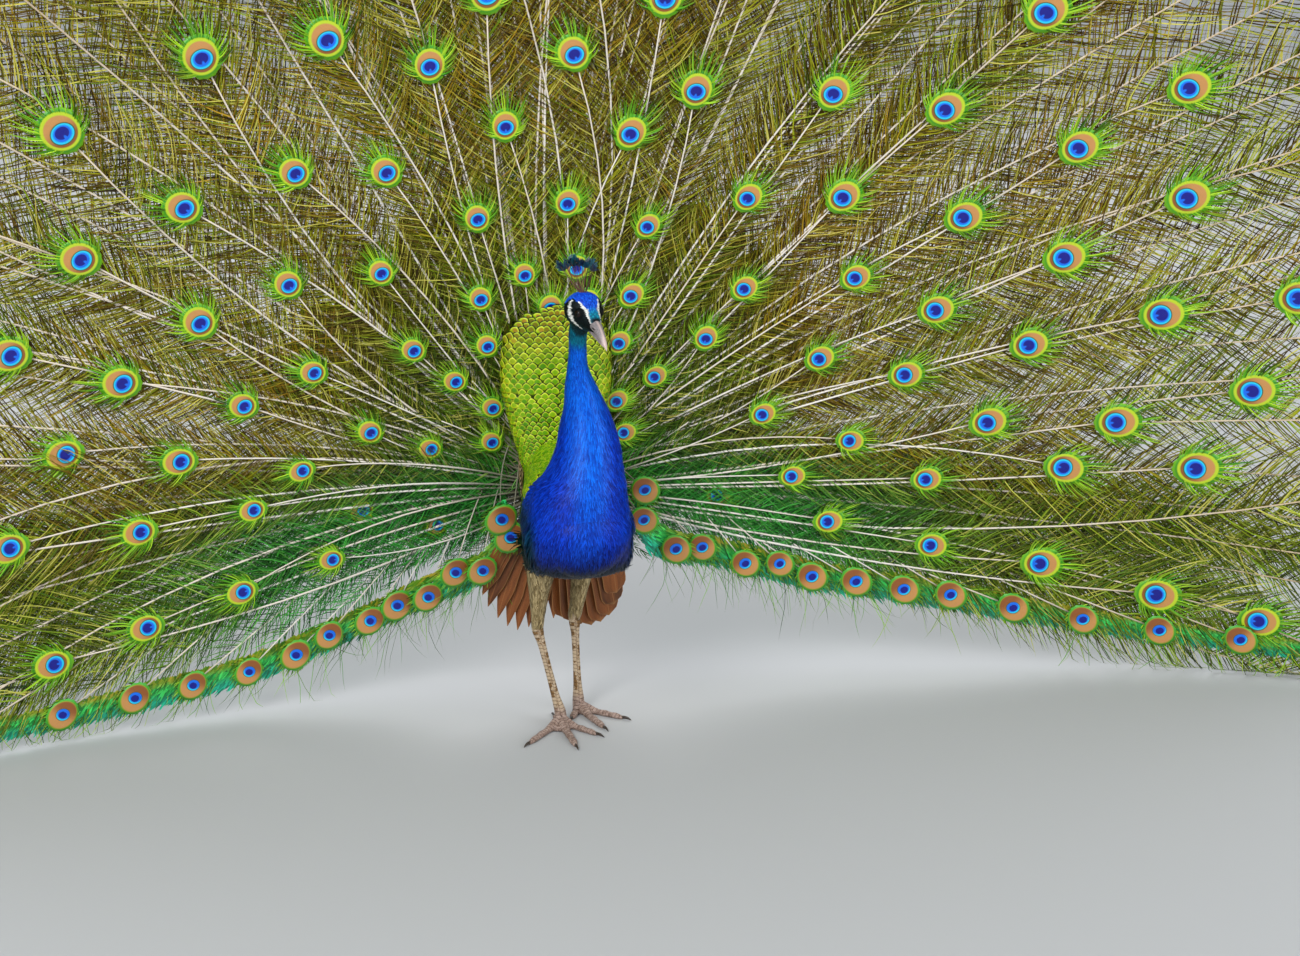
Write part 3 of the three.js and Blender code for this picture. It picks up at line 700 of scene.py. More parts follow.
def eyelid(side):
    middle, axis, ahead, above = eye_frame(side)
    turn = ring_turns(LID_SECTORS)
    open_at = 1 / np.hypot(np.cos(turn) / EYE_OPENING[0], np.sin(turn) / EYE_OPENING[1])
    rings = []
    for out, height in LID_PROFILE:
        away = open_at + out
        on_ball = np.sqrt(np.maximum(EYE_RADIUS ** 2 - (open_at - 0.5) ** 2, 0))
        level = on_ball + height
        rings.append(middle + away[:, None] * (np.cos(turn)[:, None] * ahead + np.sin(turn)[:, None] * above)
                     + level[:, None] * axis)
    quads = grid_faces(LID_SECTORS, len(LID_PROFILE) - 1, closed=True)
    tris = np.concatenate([quads[:, [0, 1, 2]], quads[:, [0, 2, 3]]])
    return np.concatenate(rings) * MM, tris if side > 0 else tris[:, ::-1]


for side in SIDES.values():
    lid_points, lid_faces = eyelid(side)
    skin_faces = np.concatenate([skin_faces, lid_faces + len(skin_points)])
    skin_points = np.concatenate([skin_points, lid_points])
    scute = np.concatenate([scute, np.zeros((len(lid_points), 3))])

# %% [markdown]
# ## The blue plumage
# Skin and feathers carry the same markings, so both materials are made by one function. It knows
# where a point lies on the bird: first in the head's own directions for the face, then by height and
# depth for the neck and the breast. The face has two white marks on each side, drawn as distances
# from short lines: one runs from above the eye to the bill, the other curves below the eye.

# %% Marks of the head, the neck and the trunk, and the painted sheen of the neck
# Lines on the side of the head: forward, up, half width of each end, in millimetres.
BROW_LINES = (((1.5, 19.0, 0.5), (15.5, 14.9, 1.2)), ((15.5, 14.9, 1.2), (33.5, 3.4, 0.6)))
CHEEK_LINES = (((-6.5, 15.5, 1.4), (0.0, 5.4, 2.7)), ((0.0, 5.4, 2.7), (6.4, -5.0, 3.0)),
               ((6.4, -5.0, 3.0), (16.5, -12.2, 1.5)))


def along_head(x, y, z, direction):
    """Millimetres from the head's centre along a direction, as a value of the shader."""
    a, b, c = (direction / MM).tolist()
    return x * a + y * b + z * c - float(HEAD_CENTRE @ direction)


def near_line(s, u, line):
    """1 on a short line with two half widths, and 0 beyond them."""
    (s0, u0, wide0), (s1, u1, wide1) = line
    ds, du = s1 - s0, u1 - u0
    share = ((s - s0) * ds + (u - u0) * du) / (ds * ds + du * du)
    share = share.limit(0.0, 1.0)
    away = ((s - s0 - share * ds) ** 2 + (u - u0 - share * du) ** 2) ** 0.5
    return (away / (share * (wide1 - wide0) + wide0)).smooth(1.12, 0.88)


def near_lines(s, u, lines):
    whole, *others = [near_line(s, u, line) for line in lines]
    for mask in others:
        whole = whole.at_least(mask)
    return whole


def trunk_marks_and_sheen(finish, x, y, z, own):
    """Neck and breast: a painted sheen highlight down the middle, cobalt sides with painted shade at the
    back, navy and black below.
    """
    uneven = (finish.noise("root", 28.0) - 0.5) * 0.4
    middle = abs(x * 1000 - 9.0 + abs(z - 0.455) * 70.0)
    # The bright streak down the front is a painted highlight of the blue sheen, where the neck faces
    # forward.
    sheen_streak = middle.smooth(34.0, 6.0) * y.smooth(0.0, -0.075)
    navy = finish.mix(own, "050d3a", "0a2070")
    black_green = finish.mix(own, "020b0c", "06231c")
    sheen_highlight = (sheen_streak * z.smooth(0.30, 0.46) * 0.9 + sheen_streak * 0.25 + uneven).limit(0.0, 1.0)
    colour = finish.mix(sheen_highlight, finish.mix(own, "001e8c", "0440d2"), finish.mix(own, "004acc", "0672ee"))
    behind = y.smooth(-0.045, 0.0) * z.smooth(0.36, 0.31)
    low = (z + uneven * 0.02).smooth(0.328, 0.280)
    lowest = (z + uneven * 0.02).smooth(0.292, 0.264)
    flank = (y + uneven * 0.02).smooth(-0.055, -0.015) * z.smooth(0.330, 0.300)
    # The first navy layer, over the back of the neck, is painted shade where the sheen turns away. The navy
    # and black-green below are the plumage's own colours.
    colour = finish.cover(colour, (y.smooth(-0.050, 0.010) * z.smooth(0.55, 0.40) * 0.65, navy),
                          (low * 0.80, navy), (flank, black_green), (lowest * 0.90, black_green))
    belly = y.smooth(0.03, 0.07) * z.smooth(0.34, 0.30)
    sides = abs(x).smooth(0.058, 0.072) * z.smooth(0.375, 0.320)
    colour = finish.cover(colour, (behind * belly, finish.mix(own, "2a2018", "4a3a2a")),
                          (sides * 0.85, finish.mix(own, "03130f", "0a3a20")))

    scaled = y.smooth(-0.040, -0.030) * z.smooth(0.300, 0.315) * z.smooth(0.446, 0.436)
    rear = y.smooth(0.105, 0.130) * z.smooth(0.250, 0.270)
    return finish.cover(colour, (scaled, finish.mix(own, "1c3006", "44660e")),
                        (rear, finish.mix(own, "3a3026", "6e5f4c")))


def head_marks(finish, x, y, z, own):
    """Blue crown, black face and chin, two white marks. Also how much a place is on the head."""
    s, left, u = [along_head(x, y, z, way) for way in (HEAD_FORWARD, HEAD_LEFT, HEAD_UP)]
    on_head = past_throat(s, u).smooth(-5.0, 3.0)
    crown = finish.mix(own, "0a2ac0", "1c6ff2")
    forehead = finish.mix(own, "065f90", "12a0b0")
    face = finish.mix(own, "010506", "06181a")
    cheek = finish.mix(own, "02141a", "07343a")
    white = finish.mix(own, "cfd2cc", "fbfaf2")
    slope = (s - 2.0).at_least(0.0) * 0.29 + (s - 15.5).at_least(0.0) * 0.35
    slope = slope + (s * -1.0 - 8.0).at_least(0.0) * 1.6
    above = (u + slope - 18.4).smooth(-0.5, 0.5)
    eye_s, _, eye_u = EYE_AT
    off_eye = (((s - eye_s - 1.0) ** 2 + (u - eye_u) ** 2) ** 0.5).smooth(EYE_CLEAR, EYE_CLEAR + 0.8)
    cheek_mark = near_lines(s, u, CHEEK_LINES) * abs(left).smooth(8.0, 10.0) * off_eye
    base = s.smooth(26.0, 30.0) * u.smooth(3.0, 9.0) * abs(left).smooth(7.5, 6.0)
    head = finish.cover(finish.mix((u * -1.0).smooth(2.0, 12.0), face, cheek),
                        (above * off_eye, finish.mix(s.smooth(12.0, 24.0), crown, forehead)),
                        (near_lines(s, u, BROW_LINES) * off_eye, white), (cheek_mark, white),
                        (base, face))
    return on_head, head


def plumage_finish(name, gloss):
    """Skin and feathers differ only in their shine and in the painted shade they are given later."""
    plumage = Finish(name, roughness=gloss, specular_ior_level=0.14)
    x, y, z = plumage.coords("root")
    _, share, own = plumage.coords("grain")
    throat = z.smooth(0.566, 0.582) * y.smooth(-0.085, -0.093)
    olive = plumage.shaded(plumage.mix(own, "7c683f", "c6b184"), plumage.noise("root", 300.0) * 1.2 + 0.35)
    colour = plumage.cover(trunk_marks_and_sheen(plumage, x, y, z, own),
                           (throat * 0.85, plumage.mix(own, "04545e", "0b8a86")),
                           head_marks(plumage, x, y, z, own), (z.smooth(0.247, 0.240), olive))
    return plumage, colour, share, own


plumage, colour, share, own = plumage_finish("feathers", 0.42)
# Each feather is painted darker towards its root, as painted shade where the next feathers cover it. own
# adds a random tone.
plumage_material = plumage.finish(base_color=plumage.shaded(colour, own * 0.3 + share * 0.45 + 0.55))

# %% The skin, with plated legs
def leg_colour(finish):
    """Buff and brown plates on the shanks, grey-pink ones on the toes, dark seams between them."""
    along, around, bare = finish.coords("scute")
    _, _, height = finish.coords("root")
    shank = along.smooth(SHANK_FROM - 10, SHANK_FROM)
    left_column = around.smooth(-0.02, 0.02)
    number = along / SCUTE_LONG + left_column * shank * 0.5
    chance = finish.chance(number.maths("FLOOR") + left_column * 57.0)
    turned = abs(around)
    wavy = finish.noise("root", 160.0) - 0.5
    seam = abs(number.maths("FRACT") - 0.5).smooth(0.38, 0.47) * turned.smooth(0.62, 0.45)
    between = turned.smooth(0.0045, 0.0015) * shank
    speckle = finish.noise("root", 700.0, 3.0)
    net = finish.node("ShaderNodeTexVoronoi", {"feature": "DISTANCE_TO_EDGE"},
                      {"Vector": finish.vector("root"), "Scale": 420.0})
    buff = finish.mix(speckle, "b69c7e", "d4bfa2")
    brown = finish.mix(speckle, "6b4c2b", "94724a")
    plate = finish.mix((chance + wavy * 1.6 + turned * 0.25).smooth(0.62, 0.74), buff, brown)
    toe = finish.mix((speckle + wavy * 0.8).smooth(0.36, 0.66), "b8a094", "846c60")
    sides = finish.mix((speckle + wavy * 1.2).smooth(0.40, 0.62), "cdb794", "8e7350")
    plated = finish.mix(turned.smooth(0.40, 0.55), plate, sides)
    colour = finish.mix(height.smooth(0.016, 0.036) * shank, toe, plated)
    dark = (seam * 0.75).at_least(between * 0.6)
    dark = dark.at_least(net.smooth(0.10, 0.02) * turned.smooth(0.42, 0.60) * 0.6)
    return finish.shaded(finish.cover(colour, (dark, "33241a")), speckle * 0.4 + 0.75), bare, dark


SHADE_UNDER_FEATHERS = 0.45  # painted shade: the skin takes the feathers' colours, darkened as in the shadow under them
hide, colour, _, _ = plumage_finish("skin", 0.6)
legs, bare, seam = leg_colour(hide)
under = hide.shaded(colour, SHADE_UNDER_FEATHERS)
hide.bump(hide.noise("root", 900.0) - seam * 1.5, 0.35, 0.0006)
hide_material = hide.finish(base_color=hide.mix(bare, under, legs))

SKINNED = ["head", "neck", "trunk"] + [f"{part}_{side}" for part in ("thigh", "shank", "foot")
                                       for side in LEGS]
skin_grain = np.stack([np.zeros(len(skin_points)), np.full(len(skin_points), 0.5),
                       dice.random(len(skin_points))], 1)
build("skin", skin_points, [skin_faces], hide_material, SKINNED,
      {"root": skin_points, "scute": scute, "grain": skin_grain})

# %% [markdown]
# ## Contour feathers
# The blue feathers are narrow and lie like thatch. Each grows from a point of the skin, leans along the
# lie of the coat and overlaps the next ones. Points are spread over the skin's triangles by area; the
# lie runs from the bill over the head, down the neck, and from the breast back to the tail. Feathers
# are smallest on the face. Every tuft's patch of the map lies where its root is on an unrolled skin.

# %% Roots on the skin
coat_points = skin_points[:len(outline)]
coat_faces = skin_faces[(skin_faces < len(outline)).all(1)]
corner = coat_points[coat_faces]
face_middle = corner.mean(1)
face_area = 0.5 * np.linalg.norm(np.cross(corner[:, 1] - corner[:, 0], corner[:, 2] - corner[:, 0]),
                                 axis=1)
THIGH_LOW, THIGH_TOP = 0.147, 0.243  # metres above the floor
BELLY = 0.235
X, Y, Z = face_middle.T
on_head = head_share(face_middle) > 0.5
on_thigh = (Z < THIGH_TOP) & (Z > THIGH_LOW) & ~on_head
on_back = (Y > -0.036) & (Y < 0.110) & (Z > 0.345) & (Z < 0.440)
on_back |= (Y > 0.0) & (Y < 0.085) & (Z > 0.305) & (Z < 0.360)
on_neck = ~on_head & ~on_thigh & ~on_back & (Z > 0.385) & (Y < 0.030)
on_breast = ~on_head & ~on_thigh & ~on_neck & (Y < -0.045) & (Z > BELLY)
on_trunk = ~on_head & ~on_thigh & ~on_neck & ~on_breast & ~on_back & (Z > BELLY)


def sown(region, apart):
    """Random roots on the skin, one for each square of side `apart`, spread over the triangles."""
    expected = face_area * region / (apart * sqrt(THIN_OUT)) ** 2
    copies = np.floor(expected + dice.random(len(expected))).astype(int)
    chosen = np.repeat(np.arange(len(expected)), copies)
    a, b = dice.random((2, len(chosen)))
    over = a + b > 1
    a, b = np.where(over, 1 - a, a), np.where(over, 1 - b, b)
    weights = np.stack([1 - a - b, a, b], 1)[..., None]
    ids = coat_faces[chosen]
    return (coat_points[ids] * weights).sum(1), unit((outward[ids] * weights).sum(1))


def lie(points, turn):
    """Direction of the coat at each point, with a small turn of its own for each feather."""
    height = points[:, 2:]
    low_on_breast = step(-points[:, 1:2], 0.05, 0.10) * step(0.42 - height, 0, 0.06)
    down = np.array([0, 0.10, -1.0])
    way = lerp(np.array([0, 1.0, -0.45]), np.array([0, 0.30, -1.0]), step(height, 0.33, 0.42))
    way = lerp(way, np.array([0, 0.55, -1.0]), low_on_breast)
    way = lerp(way, down, step(height, 0.42, 0.47))
    way = lerp(way, -HEAD_FORWARD - 0.55 * UPWARD, head_share(points)[:, None])
    way = np.where(height < THIGH_TOP, down, way)
    return unit(way) + dice.normal(0, turn, (len(points), 3))


def unrolled(points, middle, axis, up, low, high):
    """Places on the map: the turn round an axis, and the share of the way along it."""
    away = points - middle
    side = np.cross(axis, up)
    turn = np.arctan2(away @ side, away @ up) / (2 * pi) + 0.5
    return np.stack([turn * 0.99, np.clip((away @ axis - low) / (high - low), 0, 0.99)], 1)


def rounded(b, power=2, blunt=0.02, least=0.02):
    """Half width along a leaf with a round tip: a high power keeps it wide for longer."""
    return np.sqrt(np.clip(1 + blunt - b ** power, least, 1))


lancet = Sheet(1, 3, lambda b: np.clip(1.25 * rounded(b, least=0.01) * (0.45 + 0.55 * b), 0.08, 1))
petal = Sheet(2, 2, lambda b: rounded(b, 2.4, 0.03, 0.03) * (0.6 + 0.4 * b))


def coat(name, sheet, region, apart, length, width, map_frame, lift, curl, crown=0.0, turn=0.09,
         keep=None):
    """One piece of the coat. length and width in metres may be numbers or functions of the roots."""
    roots, normals = sown(region, apart)
    if keep is not None:
        chosen = keep(roots)
        roots, normals = roots[chosen], normals[chosen]
    n = len(roots)
    length = length(roots) if callable(length) else length
    width = width(roots) if callable(width) else width
    length = length * dice.uniform(0.75, 1.2, n)
    lift = lift + dice.normal(0, 0.035, n)
    points = sheet.stamp(roots, lie(roots, turn), normals, length, width, lift, curl, crown)
    return sheet.piece(name, points, roots, unrolled(roots, *map_frame), plumage_material, "blue_plumage")


# %% Coats of the neck, the breast, the trunk and the thighs
# For each part's map: a point on its axis, the axis, where the turn starts, and the axis's two ends.
NECK_MAP = (np.array([0, -0.078, 0]), UPWARD, BACKWARD, 0.20, 0.66)
TRUNK_MAP = (np.array([0, 0, 0.33]), BACKWARD, UPWARD, -0.16, 0.23)
HEAD_MAP = (HEAD_CENTRE * MM, HEAD_FORWARD, HEAD_UP, -0.05, 0.045)
LEG_MAP = (np.array([-0.01, 0.02, 0]), UPWARD, BACKWARD, 0.13, 0.26)


def up_the_neck(roots):
    return step(roots[:, 2], 0.44, 0.585)


def neck_length(roots):
    return lerp(0.014, 0.0065, up_the_neck(roots))


def neck_width(roots):
    return lerp(0.0010, 0.0006, up_the_neck(roots))


def flank_length(roots):
    """Loose long feathers hang at the lower flanks."""
    return lerp(0.013, 0.018, step(roots[:, 1], -0.05, 0.0) * step(0.30 - roots[:, 2], 0, 0.03))


coat("coat_neck", lancet, on_neck, 0.00165, neck_length, neck_width, NECK_MAP, lift=0.17, curl=0.15)
coat("coat_breast", lancet, on_breast, 0.0018, 0.011, 0.0008, NECK_MAP, lift=0.15, curl=0.16)
coat("coat_trunk", lancet, on_trunk, 0.0032, flank_length, 0.0016, TRUNK_MAP, 0.22, 0.16, turn=0.16)
coat("coat_thighs", lancet, on_thigh, 0.0018, 0.010, 0.0009, LEG_MAP, 0.14, 0.12, turn=0.10)

# %% Loose dark feathers at the flanks
on_flank = (np.abs(X) > 0.050) & (Z > 0.248) & (Z < 0.335) & (Y > -0.105) & (Y < 0.06)
plume = Sheet(2, 4, lambda b: np.clip(1.2 * rounded(b, least=0.01), 0.1, 1))


def plumes():
    """Feathers that stand off the lower sides and droop outward."""
    roots, normals = sown(on_flank, 0.0046)
    n = len(roots)
    outward = np.sign(roots[:, :1]) * SIDEWAYS * 0.55
    way = outward + np.array([0, 0.25, -1.0]) + dice.normal(0, 0.22, (n, 3))
    length = dice.uniform(0.014, 0.025, n)
    return roots, plume.stamp(roots, way, normals, length, 0.0013, lift=0.34, curl=0.24, crown=0.2)


roots, points = plumes()
plume.piece("coat_flanks", points, roots, unrolled(roots, *TRUNK_MAP), plumage_material, "blue_plumage")

# %% Coat of the head

def off_the_eye(roots):
    """Keeps roots that are outside the eyelids and behind the bill."""
    clear = np.ones(len(roots), bool)
    for side in SIDES.values():
        middle, axis, _, _ = eye_frame(side)
        away = roots / MM - middle
        beside = np.linalg.norm(away - (away @ axis)[:, None] * axis, axis=1)
        clear &= (beside > EYE_CLEAR) | (away @ axis < 0)
    s, left, _ = in_head(roots).T
    ridge = (s > 27.5) & (np.abs(left) < 5.5)
    return clear & (s < 31.5) & ~ridge


def small_at_the_bill(roots):
    s = in_head(roots)[:, 0]
    return lerp(0.0042, 0.0021, step(s, -5, 26))


coat("coat_head", petal, on_head, 0.0012, small_at_the_bill, 0.0008, HEAD_MAP, lift=0.22, curl=0.10,
     crown=0.35, turn=0.12, keep=off_the_eye)

# %% [markdown]
# ## Eyes
# An eyeball is dark brown with a black pupil, under a clear wet surface. The rings are drawn by the
# distance from the way the eye looks, which each point carries as a number.

# %% Eyeballs
EYE_STEPS = 20
IRIS_AT = 0.80  # rim of the iris, as a share of the ball's radius
PUPIL_AT = 0.45


def eyeball(side):
    """Rings from the pupil back: points, faces and each point's distance from the middle."""
    middle, axis, ahead, above = eye_frame(side)
    fall = pi * (np.arange(EYE_STEPS) + 0.5) / EYE_STEPS
    turn = ring_turns(LID_SECTORS)
    ring = np.cos(turn)[:, None] * ahead + np.sin(turn)[:, None] * above
    points = middle + EYE_RADIUS * (np.cos(fall)[:, None, None] * axis
                                    + np.sin(fall)[:, None, None] * ring[None])
    away = np.repeat(np.where(fall < pi / 2, np.sin(fall), 2 - np.sin(fall)), LID_SECTORS)
    grain = np.stack([away, np.tile(turn, EYE_STEPS), np.zeros(len(away))], 1)
    return points.reshape(-1, 3) * MM, tube_faces(LID_SECTORS, EYE_STEPS - 1), grain


def wet_eye_finish():
    wet = Finish("eye", roughness=0.4, specular_ior_level=0.05, coat_weight=0.5, coat_roughness=0.02)
    away, turn, _ = wet.coords("grain")
    spokes = (turn * 38.0).maths("SINE")
    iris = wet.mix(spokes * 0.25 + 0.5, "120703", "281208")
    colour = wet.cover("0a0605", (away.smooth(IRIS_AT, IRIS_AT - 0.05), iris),
                       (away.smooth(PUPIL_AT, PUPIL_AT - 0.05), "010101"))
    return wet.finish(base_color=colour)


wet_eye = wet_eye_finish()
for name, side in SIDES.items():
    points, faces, grain = eyeball(side)
    build(f"eye_{name}", points, faces, wet_eye, [f"eye_{name}"], {"grain": grain})

# %% [markdown]
# ## Bill
# The upper half is arched and hooks over the lower one. A slit of a nostril opens on each side under a low
# swelling, painted near black inside as painted shade. The horn is grey, paler and pinkish at the tip, with
# fine growth lines, and the pink along the ridge is a painted highlight.

# %% Both halves of the bill
# Distance forward, half width, upper and lower outline, in millimetres.
UPPER_BILL = [(22, 8, 9, -5.5), (31, 8, 8.6, -6), (40, 6.8, 7.6, -6), (50, 5.4, 4.6, -6.6),
              (60, 3.8, -0.4, -8.2), (67, 2.2, -5.2, -10), (71.5, 0.6, -9.6, -11.6)]
LOWER_BILL = [(22, 7, -6.8, -12.5), (32, 6.3, -6.8, -12), (44, 4.8, -7.2, -11.8),
              (55, 3.2, -8.2, -11.6), (62.5, 1.2, -9.8, -11.2)]
BILL_STEPS = 60
BILL_SIDES = 48
NOSTRIL = (38.0, 1.6, 4.6, 1.25)  # forward, up, half length, half height


def bill_half(keys, upper):
    rows = curve(keys, np.linspace(0, 1, BILL_STEPS + 1))
    s, wide, top, low = rows.T
    turn = ring_turns(BILL_SIDES, 0.5)
    across, tall = np.cos(turn), np.sin(turn)
    # The outer side, a ridge above or the chin below, is narrow. The cutting edge is flat.
    outer = tall > 0 if upper else tall < 0
    narrow = np.where(outer, 1 - (0.26 if upper else 0.2) * tall ** 2, 1.0)
    left = wide[:, None] * across * narrow
    flat = np.where(outer, 1.0, 0.86)
    up = (top + low)[:, None] / 2 + (top - low)[:, None] / 2 * tall * flat
    place = np.broadcast_to(s[:, None], left.shape)
    if upper:
        slit_s, slit_u, long, high = NOSTRIL
        apart = ((place - slit_s) / long) ** 2 + ((up - slit_u - 0.10 * (place - slit_s)) / high) ** 2
        hollow = np.exp(-apart * 1.1)
        swell = np.exp(-((place - slit_s) / 7) ** 2 - ((up - slit_u - 1.6) / 2.6) ** 2)
        left = left + np.sign(left) * (0.45 * swell - 1.5 * hollow) * (np.abs(left) > 1.5)
    points = head_point(place, left, up).reshape(-1, 3) * MM
    quads, caps = tube_faces(BILL_SIDES, BILL_STEPS)
    grain = np.stack([place.ravel(), np.abs(left).ravel(), up.ravel()], 1)
    return points, [quads[:, ::-1], caps], grain


def horn_finish():
    horn = Finish("horn", roughness=0.34, specular_ior_level=0.5)
    s, left, up = horn.coords("grain")
    drawn_out = horn.node("ShaderNodeVectorMath", {"operation": "MULTIPLY"},
                          [horn.vector("grain"), (0.25, 1.6, 1.6)])
    lines = horn.noise(drawn_out, 1.4, 3.0)
    grey = horn.mix(lines.smooth(0.35, 0.65), "6c6668", "a09698")
    pink = horn.mix(lines, "b89c98", "e6d0c8")
    slit_s, slit_u, long, high = NOSTRIL
    apart = (((s - slit_s) / long) ** 2 + ((up - slit_u - (s - slit_s) * 0.10) / high) ** 2) ** 0.5
    # The pink along the ridge is a painted highlight. The pink at the tip and along the cutting edge is the
    # horn's own.
    ridge = left.smooth(2.4, 0.6) * s.smooth(28.0, 36.0)
    tip = s.smooth(50.0, 68.0)
    edge = (up + 6.4).smooth(-1.6, 0.4) * (up + 6.4).smooth(3.0, 0.4)
    # The nostril slit is painted near black: painted shade in its hollow.
    colour = horn.cover(grey, ((ridge * 0.7 + tip * 0.8 + edge * 0.55).limit(0.0, 1.0), pink),
                        (s.smooth(33.0, 29.0) * 0.6, "2b2729"), (apart.smooth(1.0, 0.6), "0d0a0a"))
    horn.bump(lines, 0.3, 0.0003)
    return horn.finish(base_color=colour)


horn_material = horn_finish()
for name, keys in {"bill_upper": UPPER_BILL, "bill_lower": LOWER_BILL}.items():
    points, faces, grain = bill_half(keys, name == "bill_upper")
    build(name, points, faces, horn_material, [name], {"grain": grain})

# %% [markdown]
# ## Crest
# About two dozen bare shafts stand up like a fan from the back of the crown. Each carries a small
# blue-green fan of barbs at its tip only.

# %% Crest shafts and their tips
CREST_COUNT = 26
CREST_ROOT = (-13, 0, 15)  # forward, left and up in the head, in millimetres
CREST_LEAN = (radians(-48), radians(6))
CREST_TWIST = radians(48)  # the fan's turn about the upright
CREST_LENGTH = 53.0
CREST_SUNK = 4.0  # how deep the shafts start under the crown
CREST_SIDES = 4
CREST_STEPS = 8
TIP_BARBS = 17
TIP_LONG = 9.0


def crest_lines():
    """Points along each shaft, in millimetres, and how strongly each one leans."""
    lean = np.linspace(*CREST_LEAN, CREST_COUNT) + dice.normal(0, 0.02, CREST_COUNT)
    length = CREST_LENGTH * dice.uniform(0.84, 1.0, CREST_COUNT)
    off = dice.normal(0, 2.2, CREST_COUNT)
    t = np.linspace(0, 1, CREST_STEPS + 1)
    reach = t[:, None] * (length + CREST_SUNK)
    bow = 1.2 * np.sin(pi * t)[:, None] * np.sign(lean)
    out = reach * np.sin(lean) + bow
    away = off * t[:, None] ** 1.5
    forward = CREST_ROOT[0] + out * cos(CREST_TWIST) - away * sin(CREST_TWIST)
    left = CREST_ROOT[1] + out * sin(CREST_TWIST) + away * cos(CREST_TWIST)
    up = CREST_ROOT[2] + reach * np.cos(lean)
    return head_point(forward, left, up)


def crest_piece():
    lines = crest_lines()
    steps, n = lines.shape[:2]
    along = unit(np.gradient(lines, axis=0))
    plane = unit(HEAD_LEFT * cos(CREST_TWIST) - HEAD_FORWARD * sin(CREST_TWIST))
    side = unit(np.cross(along, plane))
    turn = ring_turns(CREST_SIDES)
    radius = lerp(0.50, 0.26, np.linspace(0, 1, steps))[:, None, None, None]
    tube = (lines[:, :, None] + radius * (np.cos(turn)[:, None] * side[:, :, None]
                                          + np.sin(turn)[:, None] * plane))
    tube = tube.transpose(1, 0, 2, 3).reshape(-1, 3)
    faces = [repeated(grid_faces(CREST_SIDES, steps - 1, closed=True), n, steps * CREST_SIDES)]
    grain = np.stack([np.zeros(len(tube)), np.tile(np.repeat(np.linspace(0, 1, steps), CREST_SIDES), n),
                      np.repeat(dice.random(n), steps * CREST_SIDES)], 1)
    # The small fans: barbs that spread from the last part of the shaft.
    feather = np.repeat(np.arange(n), TIP_BARBS)
    spread = np.tile(np.linspace(-1, 1, TIP_BARBS), n)
    start = lines[-1][feather] - along[-1][feather] * (TIP_LONG * 0.55 * np.abs(spread)[:, None] ** 0.7)
    angle_out = spread * 0.95
    way = along[-1][feather] * np.cos(angle_out)[:, None] + side[-1][feather] * np.sin(angle_out)[:, None]
    facing = plane + dice.normal(0, 0.5, (n, 3))[feather] + dice.normal(0, 0.12, (len(feather), 3))
    long = TIP_LONG * (0.55 + 0.45 * np.cos(angle_out)) * dice.uniform(0.85, 1.1, len(feather))
    points = lancet.stamp(start, way, facing, long, 0.75, lift=0.0, curl=0.0)
    tip_faces = repeated(lancet.faces, len(points), points.shape[1]) + len(tube)
    tips = lancet.layers(start, np.repeat(dice.random(n), TIP_BARBS))["grain"]
    tips[:, 0] = 1.0
    points = np.concatenate([tube, points.reshape(-1, 3)]) * MM
    return points, [*faces, tip_faces], np.concatenate([grain, tips])


def crest_finish():
    crest = Finish("crest", roughness=0.4)
    fan, share, own = crest.coords("grain")
    shaft = crest.mix(own, "4a2c22", "8a6252")
    vane = crest.mix(own, "04143c", "07505e")
    return crest.finish(base_color=crest.mix(fan, shaft, crest.shaded(vane, share * 1.1 + 0.45)))


points, faces, grain = crest_piece()
build("crest", points, faces, crest_finish(), ["crest"], {"grain": grain})

# %% [markdown]
# ## The scaled back
# Below the neck the back is covered with round feathers that look like golden-green scales. When the train
# is raised the rump tips up behind the neck, and its scales point upward. Each is a small domed disc with a
# bright middle and a thin dark rim, and its base, where the next scales overlap it, is painted dark as
# painted shade. They lie in offset rows, like roof tiles seen upside down, larger and coppery near the top.

# %% The rounded rump under the scales
# Height, centre y, half width, half depth, in millimetres.
SHIELD = [(296, 68, 26, 28), (325, 88, 47, 44), (367, 105, 57, 44), (419, 114, 70, 37), (463, 114, 78, 32),
          (520, 111, 76, 24), (550, 108, 66, 17), (570, 107, 44, 10), (578, 106, 20, 6)]
SHIELD_X = -1
SHIELD_LOW, SHIELD_TOP = SHIELD[0][0], SHIELD[-1][0]
SHIELD_FINE = curve(SHIELD, np.linspace(0, 1, 400))
SCALE_DEPTH = 2.5  # millimetres of scales over the rump


def shield_surface(height, turn):
    """Points and outward directions of the rump. turn 0 faces forward and grows to the bird's left."""
    z = np.clip(height, SHIELD_LOW, SHIELD_TOP)
    y, wide, deep = [np.interp(z, SHIELD_FINE[:, 0], SHIELD_FINE[:, k]) for k in (1, 2, 3)]
    wide, deep = wide - SCALE_DEPTH, deep - SCALE_DEPTH
    points = np.stack([SHIELD_X + wide * np.sin(turn), y - deep * np.cos(turn), z], -1) + SHIFT
    outward = unit(np.stack([np.sin(turn) / wide, -np.cos(turn) / deep, 0 * z], -1))
    return points, outward


